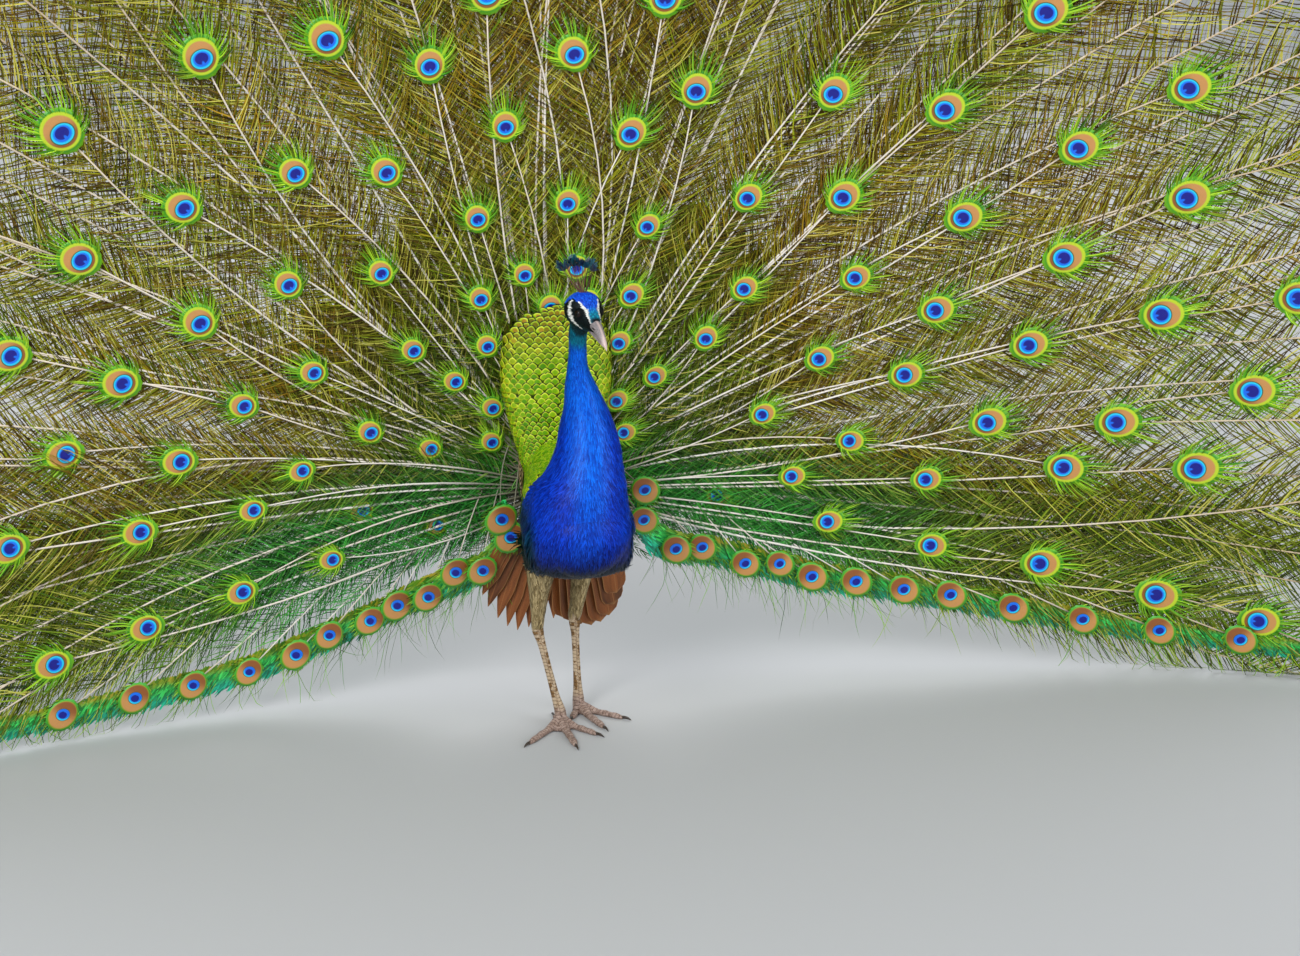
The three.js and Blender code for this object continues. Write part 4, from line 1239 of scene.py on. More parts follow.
def scale_finish():
    scales = Finish("scales", roughness=0.36, metallic=0.10, specular_ior_level=0.3)
    x, _, z = scales.coords("root")
    a, b, own = scales.coords("grain")
    away = (abs(a) ** 2.2 * 0.95 + abs((b - 0.42) / 0.58) ** 2.2 * 0.95) ** 0.455
    upper = z.smooth(0.475, 0.560) * 0.85 + own * 0.25 - 0.1
    side = abs(x * 1000 + 2.0).smooth(40.0, 75.0)
    lime = scales.mix(own, "7cb200", "aad804")
    gold = scales.mix(own, "969606", "c4c20e")
    body = scales.mix((side * 0.6 + own * 0.35 - upper * 0.2).limit(0.0, 1.0), lime, gold)
    green = scales.mix(own, "4f9c0c", "79b80e")
    copper = scales.mix(own, "8a5210", "b4742a")
    middle = scales.mix(upper.limit(0.0, 1.0), green, copper)
    core = ((a * a * 1.3 + (b - 0.62) ** 2 * 9.0) ** 0.5).smooth(0.85, 0.45)
    light = away.smooth(0.60, 0.80) * b.smooth(0.3, 0.5) * 0.8
    rim = away.smooth(0.87, 0.93) * b.smooth(0.3, 0.4)
    # The dark base of each scale is painted shade where its neighbours overlap it.
    colour = scales.cover(body, (core * 0.85, middle), (b.smooth(0.40, 0.20) * 0.85, "26380a"),
                          (light, scales.mix(own, "c2d820", "dde848")), (rim, "141c05"))
    return scales.finish(base_color=scales.shaded(colour, own * 0.35 + 0.75))


scale_material = scale_finish()
SHIELD_ROWS = 80
SHIELD_SIDES = 72
GAP_SHADE_GRAIN = [0.0, 0.1, 0.2]  # grain that paints the solid under scales or strands dark: painted shade, so that gaps look deep
heights = np.linspace(SHIELD_LOW, SHIELD_TOP, SHIELD_ROWS + 1)
turns = ring_turns(SHIELD_SIDES)
rump, _ = shield_surface(np.repeat(heights, SHIELD_SIDES), np.tile(turns, SHIELD_ROWS + 1))
rump_map = np.stack([np.tile(turns / (2 * pi), SHIELD_ROWS + 1) * 0.02,
                     np.repeat(heights - 300, SHIELD_SIDES) / 290 * 0.02], 1)

# %% Scales on the rump and on the back behind the neck
def disc_outline(b):
    return rounded(np.abs((b - 0.44) / 0.562), 2.3, 0, 0) * np.clip(b * 5 + 0.35, 0, 1)


disc = Sheet(4, 6, disc_outline, crowd=1.8)


def scale_rows():
    """Roots, directions, normals and sizes of every scale, row over row."""
    ovals = np.linspace(-2.25, 2.25, 200)
    roots, ways, normals, sizes = [], [], [], []
    z, row = SHIELD_LOW + 3.0, 0
    while z < SHIELD_TOP - 4:
        grown = float(step(np.array(z), 320, 500))
        apart, across = lerp(4.4, 7.2, grown), lerp(7.6, 12.2, grown)
        wide, deep = [np.interp(z, SHIELD_FINE[:, 0], SHIELD_FINE[:, k]) for k in (2, 3)]
        # Even steps along the oval, counted from its front.
        travelled = np.cumsum(np.hypot(wide * np.cos(ovals), deep * np.sin(ovals))) * (ovals[1] - ovals[0])
        travelled -= np.interp(0, ovals, travelled)
        steps = np.arange(ceil(travelled[0] / across), ceil(travelled[-1] / across))
        turn = np.interp((steps + 0.5 * (row % 2)) * across, travelled, ovals)
        n = len(turn)
        turn = turn + dice.normal(0, 0.02, n)
        heights = z + dice.normal(0, 0.5, n)
        place, out = shield_surface(heights, turn)
        ahead, _ = shield_surface(heights + 8, turn)
        roots.append(place)
        ways.append(unit(ahead - place + 0.01 * UPWARD) + dice.normal(0, 0.05, (n, 3)))
        normals.append(out)
        sizes.append(across / 2 * 1.16 * dice.uniform(0.94, 1.07, n))
        z += apart
        row += 1
    return [np.concatenate(part) for part in (roots, ways, normals, sizes)]


roots, ways, normals, half = scale_rows()
points = disc.stamp(roots * MM, ways, normals, half * 2.2 * MM, half * MM, lift=0.16, curl=0.07,
                    crown=0.20)
turn_share = np.arctan2(roots[:, 0] - SHIELD_X, -(roots[:, 1] - 88)) / (2 * pi) + 0.5
places = np.stack([turn_share * 0.99, np.clip((roots[:, 2] - 300) / 290, 0, 0.99)], 1)
disc.piece("back_scales", points, roots * MM, places, scale_material, "back_scales", ["back_shield"],
           (rump * MM, tube_faces(SHIELD_SIDES, SHIELD_ROWS), GAP_SHADE_GRAIN, rump_map))

# %% Smaller scales on the upper back and the shoulders
small_disc = Sheet(3, 4, disc_outline, crowd=1.8)
roots, normals = sown(on_back, 0.0050)
upward = normals[:, 2] > lerp(-0.35, 0.05, step(roots[:, 2], 0.335, 0.36))
roots, normals = roots[upward], normals[upward]
ways = np.array([0.0, 1.0, 0.25]) + dice.normal(0, 0.08, (len(roots), 3))
points = small_disc.stamp(roots, ways, normals, 0.0108, 0.0050, lift=0.24, curl=0.10, crown=0.22)
small_disc.piece("back_scales_small", points, roots, unrolled(roots, *TRUNK_MAP), scale_material,
                 "back_scales")

# %% [markdown]
# ## Wings
# The closed wing lies on the trunk's side as a curved shell. Its coverts are barred buff and dark
# brown and overlap towards the tail. The chestnut flight feathers hang below, behind the legs: nine
# on each side, every one a long vane with a pale shaft.

# %% Shell of the closed wing and its coverts
# From the shoulder back: y, share of the full reach, share of the full thickness.
WING = [(66, 0.1, 0.15), (76, 0.5, 0.4), (90, 0.85, 0.7), (108, 1, 0.9), (135, 0.9, 1),
        (160, 0.6, 0.8), (182, 0.15, 0.3)]
WING_THICK = 4.5  # millimetres, over the gap
WING_GAP = 2.2
WING_INSIDE = 0.4  # its hidden side lies this far off the trunk
WING_REACH = radians(38)  # up and down from its middle line
WING_MIDDLE = radians(-22)  # that line lies below the trunk's axis
COVERT_DEPTH = 1.8
TRUNK_FINE = curve(TRUNK, np.linspace(0, 1, 500))


def wing_surface(side, t, share, inside=0.0, back=False):
    """Points of the wing: t runs from the shoulder back, share from -1 below to 1 above."""
    y, reach, thick = curve(WING, t).T
    z, wide, high = [np.interp(y, TRUNK_FINE[:, 0], TRUNK_FINE[:, k]) for k in (1, 2, 3)]
    turn = WING_REACH * share * reach
    swell = WING_THICK * thick * np.cos(0.9 * WING_REACH * share) + WING_GAP - inside
    out = np.full_like(swell, WING_INSIDE) if back else np.maximum(swell, 2 * WING_INSIDE)
    angle_at = WING_MIDDLE + turn
    return np.stack([side * (wide + out) * np.cos(angle_at), y,
                     z + (high + out) * np.sin(angle_at)], -1) + SHIFT


def wing_shell(side, steps=30, across=16):
    t = np.repeat(np.linspace(0, 1, steps + 1), across + 1)
    share = np.tile(np.linspace(-1, 1, across + 1), steps + 1)
    front_points = wing_surface(side, t, share, COVERT_DEPTH)
    back_points = wing_surface(side, t, share, back=True)
    k = (steps + 1) * (across + 1)
    web = grid_faces(across, steps)
    rim = []
    for column in (0, across):
        low = np.arange(steps) * (across + 1) + column
        rim.append(np.stack([low, low + across + 1, low + across + 1 + k, low + k], 1))
    for line in (0, steps):
        low = line * (across + 1) + np.arange(across)
        rim.append(np.stack([low, low + 1, low + 1 + k, low + k], 1))
    return np.concatenate([front_points, back_points]), np.concatenate([web, web[:, ::-1] + k, *rim])


def covert_finish():
    covert = Finish("coverts", roughness=0.55, specular_ior_level=0.3)
    a, b, own = covert.coords("grain")
    wobble = covert.noise("root", 220.0) * 2.6
    bars = (b * 17.0 + wobble + own * 5.0 - a * a * 1.5).maths("SINE")
    buff = covert.mix(own, "a58a62", "cdb48a")
    dark = covert.mix(own, "1d140d", "36261a")
    colour = covert.mix(bars.smooth(-0.15, 0.25), buff, dark)
    shaft = abs(a).smooth(0.10, 0.03)
    return covert.finish(base_color=covert.cover(colour, (shaft * 0.7, "5a4630"),
                                                 (b.smooth(0.25, 0.1) * 0.5, "1d140d")))


covert_material = covert_finish()
covert_vane = Sheet(4, 7, lambda b: rounded(b, 3) * np.clip(0.45 + b * 2, 0, 1))
COVERT_ROWS = 18
COVERT_COLUMNS = 11


def coverts(side):
    row, column = np.meshgrid(np.arange(COVERT_ROWS), np.arange(COVERT_COLUMNS), indexing="ij")
    row, column = row.ravel(), column.ravel()
    n = len(row)
    t = lerp(0.03, 0.93, (row + dice.uniform(-0.2, 0.2, n)) / (COVERT_ROWS - 1))
    share = column + 0.5 * (row % 2) + dice.uniform(-0.12, 0.12, n)
    share = share / (COVERT_COLUMNS - 0.5) * 1.9 - 0.95
    place = wing_surface(side, t, share, COVERT_DEPTH)
    ahead = wing_surface(side, np.minimum(t + 0.02, 1), share, COVERT_DEPTH)
    beside = wing_surface(side, t, share + 0.05, COVERT_DEPTH)
    way = unit(ahead - place)
    normal = np.cross(way, beside - place)
    normal *= np.sign(normal[:, :1] * side)
    far = step(t, 0.1, 0.8)
    length, wide = lerp(17, 34, far) * dice.uniform(0.9, 1.1, n), lerp(6.5, 9.5, far)
    return place * MM, way + dice.normal(0, 0.05, (n, 3)), normal, length * MM, wide * MM


for name, side in SIDES.items():
    shell, shell_faces = wing_shell(side)
    roots, *way_and_size = coverts(side)
    points = covert_vane.stamp(roots, *way_and_size, lift=0.07, curl=0.05, crown=0.20)
    places = np.clip((roots[:, 1:] - [-0.09, 0.27]) / [0.27, 0.15], 0, 0.97)
    shell_map = (shell[:, 1:] - [-90, 250]) / [270, 160] * 0.02
    covert_vane.piece(f"wing_{name}", points, roots, places, covert_material, "wing_coverts",
                      [f"wing_{name}"], (shell * MM, [shell_faces], [0.5, 0.6, 0.1], shell_map))

# %% [markdown]
# Flight feathers are one vane each: the shaft runs a little nearer to the leading edge, the barbs slope
# away from it, and the sheet is bent so that neighbours overlap like the leaves of a fan.

# %% Flight feathers
PRIMARY_TIPS = {  # from the outermost feather to the innermost
    1: [(80, 118, 178), (84, 122, 146), (73, 124, 116), (50, 127, 103), (26, 134, 106), (9, 143, 113)],
    -1: [(-104, 116, 190), (-108, 119, 158), (-86, 122, 124), (-60, 126, 104), (-30, 133, 108),
         (3, 143, 113)],
}
PRIMARY_COUNT = 9
PRIMARY_STEPS = 22
PRIMARY_ACROSS = 10


def vane_grid(across, along):
    """Across and along of every point of a long vane, as in a sheet."""
    a, b = np.meshgrid(np.linspace(-1, 1, across + 1), np.linspace(0, 1, along + 1))
    return a.ravel(), b.ravel()


def vanes(name, feathers, a, b, across, along, material):
    """One piece of long vanes side by side. Each has its own strip of the map."""
    n = len(feathers)
    own = (np.arange(n) + 0.5) / n
    grain = np.stack(np.broadcast_arrays(a, b, own[:, None]), -1)
    strip = np.stack([(grain[..., 0] * 0.45 + 0.5 + np.arange(n)[:, None]) / n, grain[..., 1] * 0.99], -1)
    build(name, np.stack(feathers), [repeated(grid_faces(across, along), n, len(a))], material,
          [name], {"grain": grain.reshape(-1, 3)}, strip)


def primary_outline(b, pointed):
    """Half width along a flight feather. The tip is round, or pointed on the splayed wing."""
    end = np.clip((1 - b) / (0.30 if pointed else 0.13), 0, 1)
    tip = end ** 0.8 if pointed else rounded(1 - end, 2, 0, 0)
    return np.clip(0.35 + b * 2.2, 0, 1) * np.maximum(tip, 0.04)


def primaries(side, a, b):
    """The flight feathers of one wing, in millimetres. The right wing is a little splayed."""
    pointed = side < 0
    feathers = []
    for k in range(PRIMARY_COUNT):
        f = (k + 0.5) / PRIMARY_COUNT
        root = np.array([lerp(side * 58, 6 + side * 2, f), lerp(100, 156, f), 276 - 6 * f])
        tip = curve(PRIMARY_TIPS[side], np.array([f]))[0]
        line = root + b[:, None] * (tip - root)
        bulge = 7 * np.sin(pi * b) * (1 - f)
        line = line + bulge[:, None] * np.array([side, -0.3, 0])
        along = unit(tip - root)
        normal = unit(np.cross(along, [side, 0.35, 0.0]))
        normal = normal * np.sign(-normal[1])
        across = np.cross(along, normal)
        half = (12.5 if pointed else 19.0) * primary_outline(b, pointed)
        dish = -1.4 * a ** 2 + 1.1 * (k % 2) + 0.4 * dice.random(2)[0]
        feathers.append(line + (a * half)[:, None] * across + dish[:, None] * normal + SHIFT)
    return feathers


def vane_finish(name, light, dark, edge, shaft, rough):
    """A stiff vane: slanting barbs, a shaft, a darker edge."""
    vane = Finish(name, roughness=rough, specular_ior_level=0.35)
    a, b, own = vane.coords("grain")
    off_shaft = abs(a)
    slant = ((b * 9.0 + off_shaft) * 60.0).maths("SINE")
    patch = (vane.noise("grain", 3.0) - 0.5) * 1.2
    tone = (patch + vane.chance(own * 91.0) * 0.7 + off_shaft * 0.25).limit(0.0, 1.0)
    colour = vane.cover(vane.mix(tone, light, dark), (off_shaft.smooth(0.90, 1.0) * 0.7, edge),
                        (b.smooth(0.95, 1.0) * 0.6, edge), (off_shaft.smooth(0.030, 0.014), shaft))
    vane.bump(slant, 0.18, 0.0004)
    return vane.finish(base_color=vane.shaded(colour, slant * 0.05 + 0.97))


chestnut = vane_finish("flight", "945424", "4a2810", "aa7c48", "a06c3c", 0.50)
a, b = vane_grid(PRIMARY_ACROSS, PRIMARY_STEPS)
for name, side in SIDES.items():
    feathers = [points * MM for points in primaries(side, a, b)]
    vanes(f"primaries_{name}", feathers, a, b, PRIMARY_ACROSS, PRIMARY_STEPS, chestnut)

# %% [markdown]
# ## The shape of the fan
# The raised train is a shallow dish that leans back a little: its rim bends forward at the sides and
# the top. A point of it is given by x sideways, u up its slope, and a distance in front of it. The
# lower edge is a line that drops away from the body on both sides and nearly touches the ground.

# %% Places on the fan
FAN_CENTRE = np.array([0, 0.148, 0.310])
FAN_LEAN = radians(8)
FAN_UP = np.array([0, -sin(FAN_LEAN), cos(FAN_LEAN)])
FAN_FRONT = np.array([0, -cos(FAN_LEAN), -sin(FAN_LEAN)])
DISH_ACROSS = 0.20  # forward bend for each metre squared sideways
DISH_UP = 0.07  # and upward
RIM_SIDE = 1.185  # feather tips at the sides
RIM_TOP_EXTRA = 0.275  # how much further the top feathers reach
EDGES = {
    "left": {"side": 1, "start": 0.060, "slope": 0.155, "sag": 0.022,
             "line": ((0.112, 0.010), (0.116, -0.010), (0.121, -0.036), (0.140, -0.068), (0.175, -0.092),
                      (0.225, -0.106), (0.30, -0.129), (0.375, -0.149), (0.46, -0.162), (0.576, -0.179),
                      (0.764, -0.208), (0.98, -0.221), (1.15, -0.226))},
    "right": {"side": -1, "start": 0.054, "slope": 0.100, "sag": 0.124,
              "line": ((0.080, 0.004), (0.077, -0.015), (0.075, -0.045), (0.090, -0.082), (0.125, -0.104),
                       (0.165, -0.126), (0.228, -0.162), (0.326, -0.198), (0.441, -0.231), (0.60, -0.246),
                       (0.74, -0.250), (0.85, -0.236), (0.95, -0.188), (1.08, -0.164))},
}
BESIDE_BODY = 0.045  # how far the lowest feathers bend forward next to the body
EDGE_SPAN = 1.2
ABOVE_FLOOR = 0.004
FAN_MAP = {"width": 2.6, "height": 2.1, "low": 0.36}  # metres, low being the part below the centre


def on_fan(x, u, front=0.0):
    """Points of the dish. Nothing goes below the floor."""
    x, u = np.asarray(x, float), np.asarray(u, float)
    bend = DISH_ACROSS * x ** 2 + DISH_UP * u ** 2 + front
    place = (FAN_CENTRE + x[..., None] * SIDEWAYS + u[..., None] * FAN_UP
             + bend[..., None] * FAN_FRONT)
    place[..., 2] = np.maximum(place[..., 2], ABOVE_FLOOR)
    return place


def forward_bend(x):
    """The lowest feathers bend forward round the flanks."""
    return BESIDE_BODY * step(-np.abs(x), -0.24, -0.09)


def fan_map(x, u):
    """The fan's own flat layout on the map."""
    return np.stack([np.asarray(x) / FAN_MAP["width"] + 0.5,
                     (np.asarray(u) + FAN_MAP["low"]) / FAN_MAP["height"]], -1)


def edge_drop(edge, r):
    """How far the lower edge lies below the fan's centre, about: the low feathers end above it."""
    sag = edge["sag"] * np.sin(pi * np.minimum(r, EDGE_SPAN) / EDGE_SPAN)
    return edge["start"] + edge["slope"] * r + sag


def rim_radius(angle):
    return RIM_SIDE + RIM_TOP_EXTRA * np.sin(angle) ** 2

# %% [markdown]
# ## Tail and soft feathers behind
# Behind the train stands the true tail: stiff grey-brown feathers in a fan that props it up. Below it
# is a cushion of soft, frayed grey-brown feathers.

# %% Tail feathers
TAIL_COUNT = 18
TAIL_SPREAD = radians(76)
TAIL_RADIUS = 0.426
TAIL_ROOT = 0.060  # distance of the visible roots from the middle of the tail
TAIL_MIDDLE = 0.040  # which lies this far up the fan
TAIL_BEHIND = 0.017
TAIL_STEPS = 20
TAIL_ACROSS = 8
TAIL_HALF = 0.030


def tail_feathers(a, b):
    end = rounded(1 - np.clip((1 - b) / 0.12, 0, 1), 2, 0)
    wide = TAIL_HALF * lerp(0.16, 1.0, np.sqrt(b)) * end
    feathers = []
    for k in range(TAIL_COUNT):
        turn = pi / 2 + lerp(-TAIL_SPREAD, TAIL_SPREAD, (k + 0.5) / TAIL_COUNT)
        r = lerp(TAIL_ROOT, TAIL_RADIUS, b)
        x = r * cos(turn) - a * wide * sin(turn)
        u = TAIL_MIDDLE + r * sin(turn) + a * wide * cos(turn)
        behind = -TAIL_BEHIND - 0.0022 * (k % 2) + 0.002 * a ** 2
        feathers.append(on_fan(x, u, behind))
    return feathers


grey_brown = vane_finish("tail", "8a7a68", "5c4e40", "3a3028", "cbb89c", 0.55)
a, b = vane_grid(TAIL_ACROSS, TAIL_STEPS)
vanes("tail", tail_feathers(a, b), a, b, TAIL_ACROSS, TAIL_STEPS, grey_brown)

# %% Soft feathers under the tail
# Up the fan, half width, half depth, in millimetres.
UNDERTAIL = [(12, 24, 8), (45, 56, 20), (95, 76, 27), (145, 68, 24), (200, 46, 16), (245, 14, 6)]
DOWN_DEPTH = 0.004
DOWN_APART = 0.0062 * sqrt(THIN_OUT)
DOWN_AREA = 0.24 * 0.30  # square metres
FRAYED = 3  # strands in a soft feather
DOWN_ROWS = 40
DOWN_SIDES = 48


def undertail_surface(t, turn):
    u, wide, deep = curve(UNDERTAIL, t).T * MM
    middle = on_fan(0 * u, u, -(TAIL_BEHIND + 0.006 + deep))
    wide, deep = wide - DOWN_DEPTH, deep - DOWN_DEPTH
    return middle + np.stack([wide * np.cos(turn), deep * np.sin(turn), 0 * u], -1)


def undertail():
    """The cushion, its faces, the strands on it, and their roots."""
    rows = np.repeat(np.linspace(0, 1, DOWN_ROWS + 1), DOWN_SIDES)
    base = undertail_surface(rows, np.tile(ring_turns(DOWN_SIDES), DOWN_ROWS + 1))
    faces = [part[:, ::-1] for part in tube_faces(DOWN_SIDES, DOWN_ROWS)]
    n = int(DOWN_AREA / DOWN_APART ** 2 * FRAYED)
    t, turn = dice.uniform(0.02, 0.97, n), dice.uniform(-0.35, pi + 0.35, n)
    place = undertail_surface(t, turn)
    below = undertail_surface(np.maximum(t - 0.02, 0), turn)
    normal = np.stack([np.cos(turn), np.sin(turn), 0 * t - 0.1], -1)
    way = unit(below - place) + dice.normal(0, 0.30, (n, 3))
    strands = lancet.stamp(place, way, normal, dice.uniform(0.014, 0.026, n), 0.0011, lift=0.25, curl=0.14)
    return base, faces, strands, place


down = Finish("soft_down", roughness=0.8, specular_ior_level=0.2)
_, share, own = down.coords("grain")
greys = down.mix(own, "574a40", "a3937f")
# Strands are painted darker towards their roots: painted shade inside the cushion.
down_material = down.finish(base_color=down.shaded(greys, share * 0.6 + 0.5))
base, faces, strands, roots = undertail()
places = np.stack([roots[:, 0] * 3 + 0.5, (roots[:, 2] - 0.28) * 3], 1)
lancet.piece("undertail", strands, roots, places, down_material, "undertail_down", ["undertail"],
             (base, faces, GAP_SHADE_GRAIN, 0.01 + base[:, [0, 2]] * 0.01))

# %% [markdown]
# ## Claws
# Blunt dark claws curve down from the tips of the toes.

# %% Claws
CLAW_LENGTH = 13.0  # millimetres
CLAW_ROOT = 2.5


def claw_points(leg, name):
    tip, ball = np.array(leg["toes"][name]), np.array(leg["ball"][:2])
    out = unit(tip - ball)
    # Distance beyond the toe's tip, height and radius.
    line = ((-3.4, CLAW_ROOT * 1.15, CLAW_ROOT * 0.9), (CLAW_LENGTH * 0.35, 3.6, CLAW_ROOT * 0.85),
            (CLAW_LENGTH * 0.75, 2.5, CLAW_ROOT * 0.55), (CLAW_LENGTH, 0.9, 0.35))
    rows = [(*(tip + out * far), height, radius * 0.8, radius) for far, height, radius in line]
    return limb(rows, steps=16, sides=16)


claw_horn = Finish("claw_horn", roughness=0.38)
streaks = claw_horn.noise("root", 900.0, 3.0)
claw_material = claw_horn.finish(base_color=claw_horn.mix(streaks.smooth(0.3, 0.7), "1d1612", "4a3a2e"))
for side_name, leg in LEGS.items():
    points, quads, tris, start = [], [], [], 0
    for name in leg["toes"]:
        claw, claw_quads, claw_tris = claw_points(leg, name)
        points.append(claw)
        quads.append(claw_quads + start)
        tris.append(claw_tris + start)
        start += len(claw)
    points = np.concatenate(points) * MM
    points[:, 2] = np.maximum(points[:, 2], SOLE)
    build(f"claws_{side_name}", points, [np.concatenate(quads), np.concatenate(tris)], claw_material,
          [f"claw_{side_name}_{name}" for name in leg["toes"]], {"root": points})

# %% [markdown]
# ## A list of the train's feathers
# A cock has about 150 long feathers. Most carry an eyespot, and their lengths are graded, so the
# eyespots stand in rings that are offset like bricks. The longest end in a fork instead and fill the
# rim. Along each lower edge a dense row of short feathers closes the fan. Short feathers without an
# eyespot cover the roots of the others, and low ones fill the fan near its edge. All are kept as
# arrays: direction, reach, eyespot size, distance in front of the fan, and sway.

# %% Eyed, forked and edge feathers
# Each ray: its angle in degrees, the radius of its first eyespot, and the step to the next ones.
RAYS = (
    (-9.8, 0.402, 0.155), (2.5, 0.338, 0.188), (9.2, 0.418, 0.188), (18.0, 0.515, 0.180),
    (26.8, 0.420, 0.180), (36.5, 0.520, 0.170), (48.0, 0.397, 0.185), (58.5, 0.510, 0.185),
    (72.5, 0.410, 0.205), (79.7, 0.537, 0.188), (88.3, 0.429, 0.220), (98.3, 0.550, 0.186),
    (105.3, 0.430, 0.238), (115.8, 0.543, 0.205), (125.0, 0.418, 0.200), (137.4, 0.502, 0.190),
    (148.0, 0.386, 0.187), (158.8, 0.461, 0.173), (169.0, 0.360, 0.168), (178.5, 0.425, 0.164),
    (193.8, 0.329, 0.133),
)
# Eyespots of the short feathers round the body: sideways and up.
NEAR_EYES = (
    (0.088, 0.131), (0.100, 0.081), (0.141, 0.166), (0.089, 0.219), (0.104, 0.290), (0.211, 0.222),
    (0.294, 0.108), (0.238, -0.025), (-0.090, 0.078), (-0.177, 0.075), (-0.089, 0.130), (-0.142, 0.175),
    (-0.097, 0.225), (-0.107, 0.297), (-0.200, 0.227), (-0.261, 0.109), (-0.274, -0.012),
    (-0.168, -0.047), (-0.046, 0.328), (-0.009, 0.278), (0.026, 0.335), (0.043, 0.283),
)
LAST_EYE = 1.09  # no eyespot further out than this, at the sides
LAST_EYE_TOP = 0.27  # and this much further at the top
FORKED = 72  # nearly twice as many as a cock has, so that the rim is full
CLOSER_ON_TOP = 0.14  # forked feathers crowd towards the top
SHORT = 92  # plain feathers round the rump
LOW = 28  # plain feathers above the lower edge, on each side
LOWEST = radians(-12)  # the lowest forked feathers, below level
EDGE_EYES = {  # distance sideways and drop of each eyespot on the edge
    "left": (
        (0.119, -0.017), (0.119, 0.030), (0.171, 0.089), (0.213, 0.097), (0.277, 0.126), (0.327, 0.127),
        (0.375, 0.149), (0.439, 0.157), (0.508, 0.168), (0.576, 0.176), (0.665, 0.192), (0.764, 0.205),
        (0.87, 0.213), (0.98, 0.216), (1.09, 0.222)),
    "right": (
        (0.085, 0.013), (0.072, 0.043), (0.111, 0.093), (0.148, 0.098), (0.185, 0.142), (0.228, 0.157),
        (0.267, 0.177), (0.326, 0.191), (0.374, 0.215), (0.441, 0.231), (0.52, 0.238), (0.601, 0.241),
        (0.70, 0.245), (0.82, 0.238), (0.95, 0.184), (1.06, 0.163)),
}
EDGE_EYE_SIZE = 0.034
EDGE_AHEAD = 0.027  # these eyespots lie on top of the dense edge
EDGE_TURN = 0.62  # and point down and outward
EDGE_BACK = -0.009  # the low feathers start behind the others
LOW_EYES_BELOW = 0.13  # eyespots lower than this, up the fan, stand clear
LOW_EYES_AHEAD = 0.013  # of the low feathers that cross them
LOW_ORIGIN = (0.045, 0.100)  # where the feathers of the lower part leave the body


def eye_size(reach):
    """Measure of an eyespot's rings: small near the body, 46 mm on the outer feathers."""
    return 0.028 + 0.018 * step(reach, 0.15, 0.95)


def from_origin(kind_name, x, u, side):
    """A feather that leaves the body beside the fan's middle and ends at (x, u)."""
    x0, u0 = side * LOW_ORIGIN[0], LOW_ORIGIN[1]
    return kind_name, atan2(u - u0, x - x0), hypot(x - x0, u - u0), x0, u0


def list_feathers():
    """Rows of kind, angle, reach and origin. Random draws keep the rows from being too even."""
    rows = []
    for degrees, first, step_out in RAYS:
        angle = radians(degrees)
        for reach in np.arange(first, LAST_EYE + LAST_EYE_TOP * sin(angle) ** 2, step_out):
            rows.append(("eyed", angle + dice.normal(0, 0.010), reach + dice.normal(0, 0.005), 0, 0))
    for x, u in NEAR_EYES:
        rows.append(("eyed", atan2(u, x), hypot(x, u), 0, 0))
    for k in range(FORKED):
        angle = lerp(LOWEST, pi - LOWEST, k / (FORKED - 1)) + dice.normal(0, 0.010)
        angle += CLOSER_ON_TOP * sin(2 * angle)
        rows.append(("forked", angle, rim_radius(angle) - dice.uniform(0.018, 0.040), 0, 0))
    for k in range(SHORT):
        angle = lerp(-0.75, pi + 0.75, k / (SHORT - 1)) + dice.normal(0, 0.03)
        rows.append(("short", angle, dice.uniform(0.125, 0.26), 0, 0))
    for edge_name, eyes in EDGE_EYES.items():
        edge = EDGES[edge_name]
        for x, drop in eyes:
            rows.append(from_origin("edge", edge["side"] * x, -drop, edge["side"]))
        for k in range(LOW):
            r = lerp(0.10, 1.12, (k / (LOW - 1)) ** 1.2)
            drop = float(edge_drop(edge, r)) * dice.uniform(0.15, 0.90)
            rows.append(from_origin("low", edge["side"] * r, -drop, edge["side"]))
    return rows


rows = list_feathers()
kind = np.array([row[0] for row in rows])
angle, reach, origin_x, origin_u = [np.array([row[k] for row in rows], float) for k in (1, 2, 3, 4)]
count = len(rows)
on_edge = kind == "edge"
size = np.where(on_edge, EDGE_EYE_SIZE, eye_size(reach)) * dice.uniform(0.93, 1.06, count)
front = 0.016 * (1 - reach / 1.45) + dice.uniform(0, 0.003, count)
in_low_part = on_edge | (kind == "low")
front += np.where(in_low_part, EDGE_BACK, 0)
low_eyed = (kind == "eyed") & (reach * np.sin(angle) < LOW_EYES_BELOW) & (reach > 0.3)
front += np.where(low_eyed, LOW_EYES_AHEAD, 0)
sway = dice.normal(0, 0.010, count)
lean = np.where(kind == "eyed", dice.normal(0, 0.15, count), 0)
side_of = np.where(np.cos(angle) < 0, -1, 1)
end_x = origin_x + reach * np.cos(angle)
end_front = np.where(on_edge, EDGE_AHEAD + forward_bend(end_x), 0)
droop = np.where(on_edge, -pi / 2 + side_of * EDGE_TURN - angle, 0) + dice.normal(0, 0.09, count)
droop = (droop + pi) % (2 * pi) - pi
print({name: int((kind == name).sum()) for name in ("eyed", "forked", "short", "edge", "low")})


def along_feather(f, r, across=0.0):
    """(x, u) of points at radius r on feathers f, moved sideways by `across`."""
    t = np.clip(r / reach[f], 0, 1)
    bow = sway[f] * np.sin(pi * t) + across
    turn = angle[f] + lean[f] * (1 - t)
    return (origin_x[f] + r * np.cos(turn) - bow * np.sin(turn),
            origin_u[f] + r * np.sin(turn) + bow * np.cos(turn))


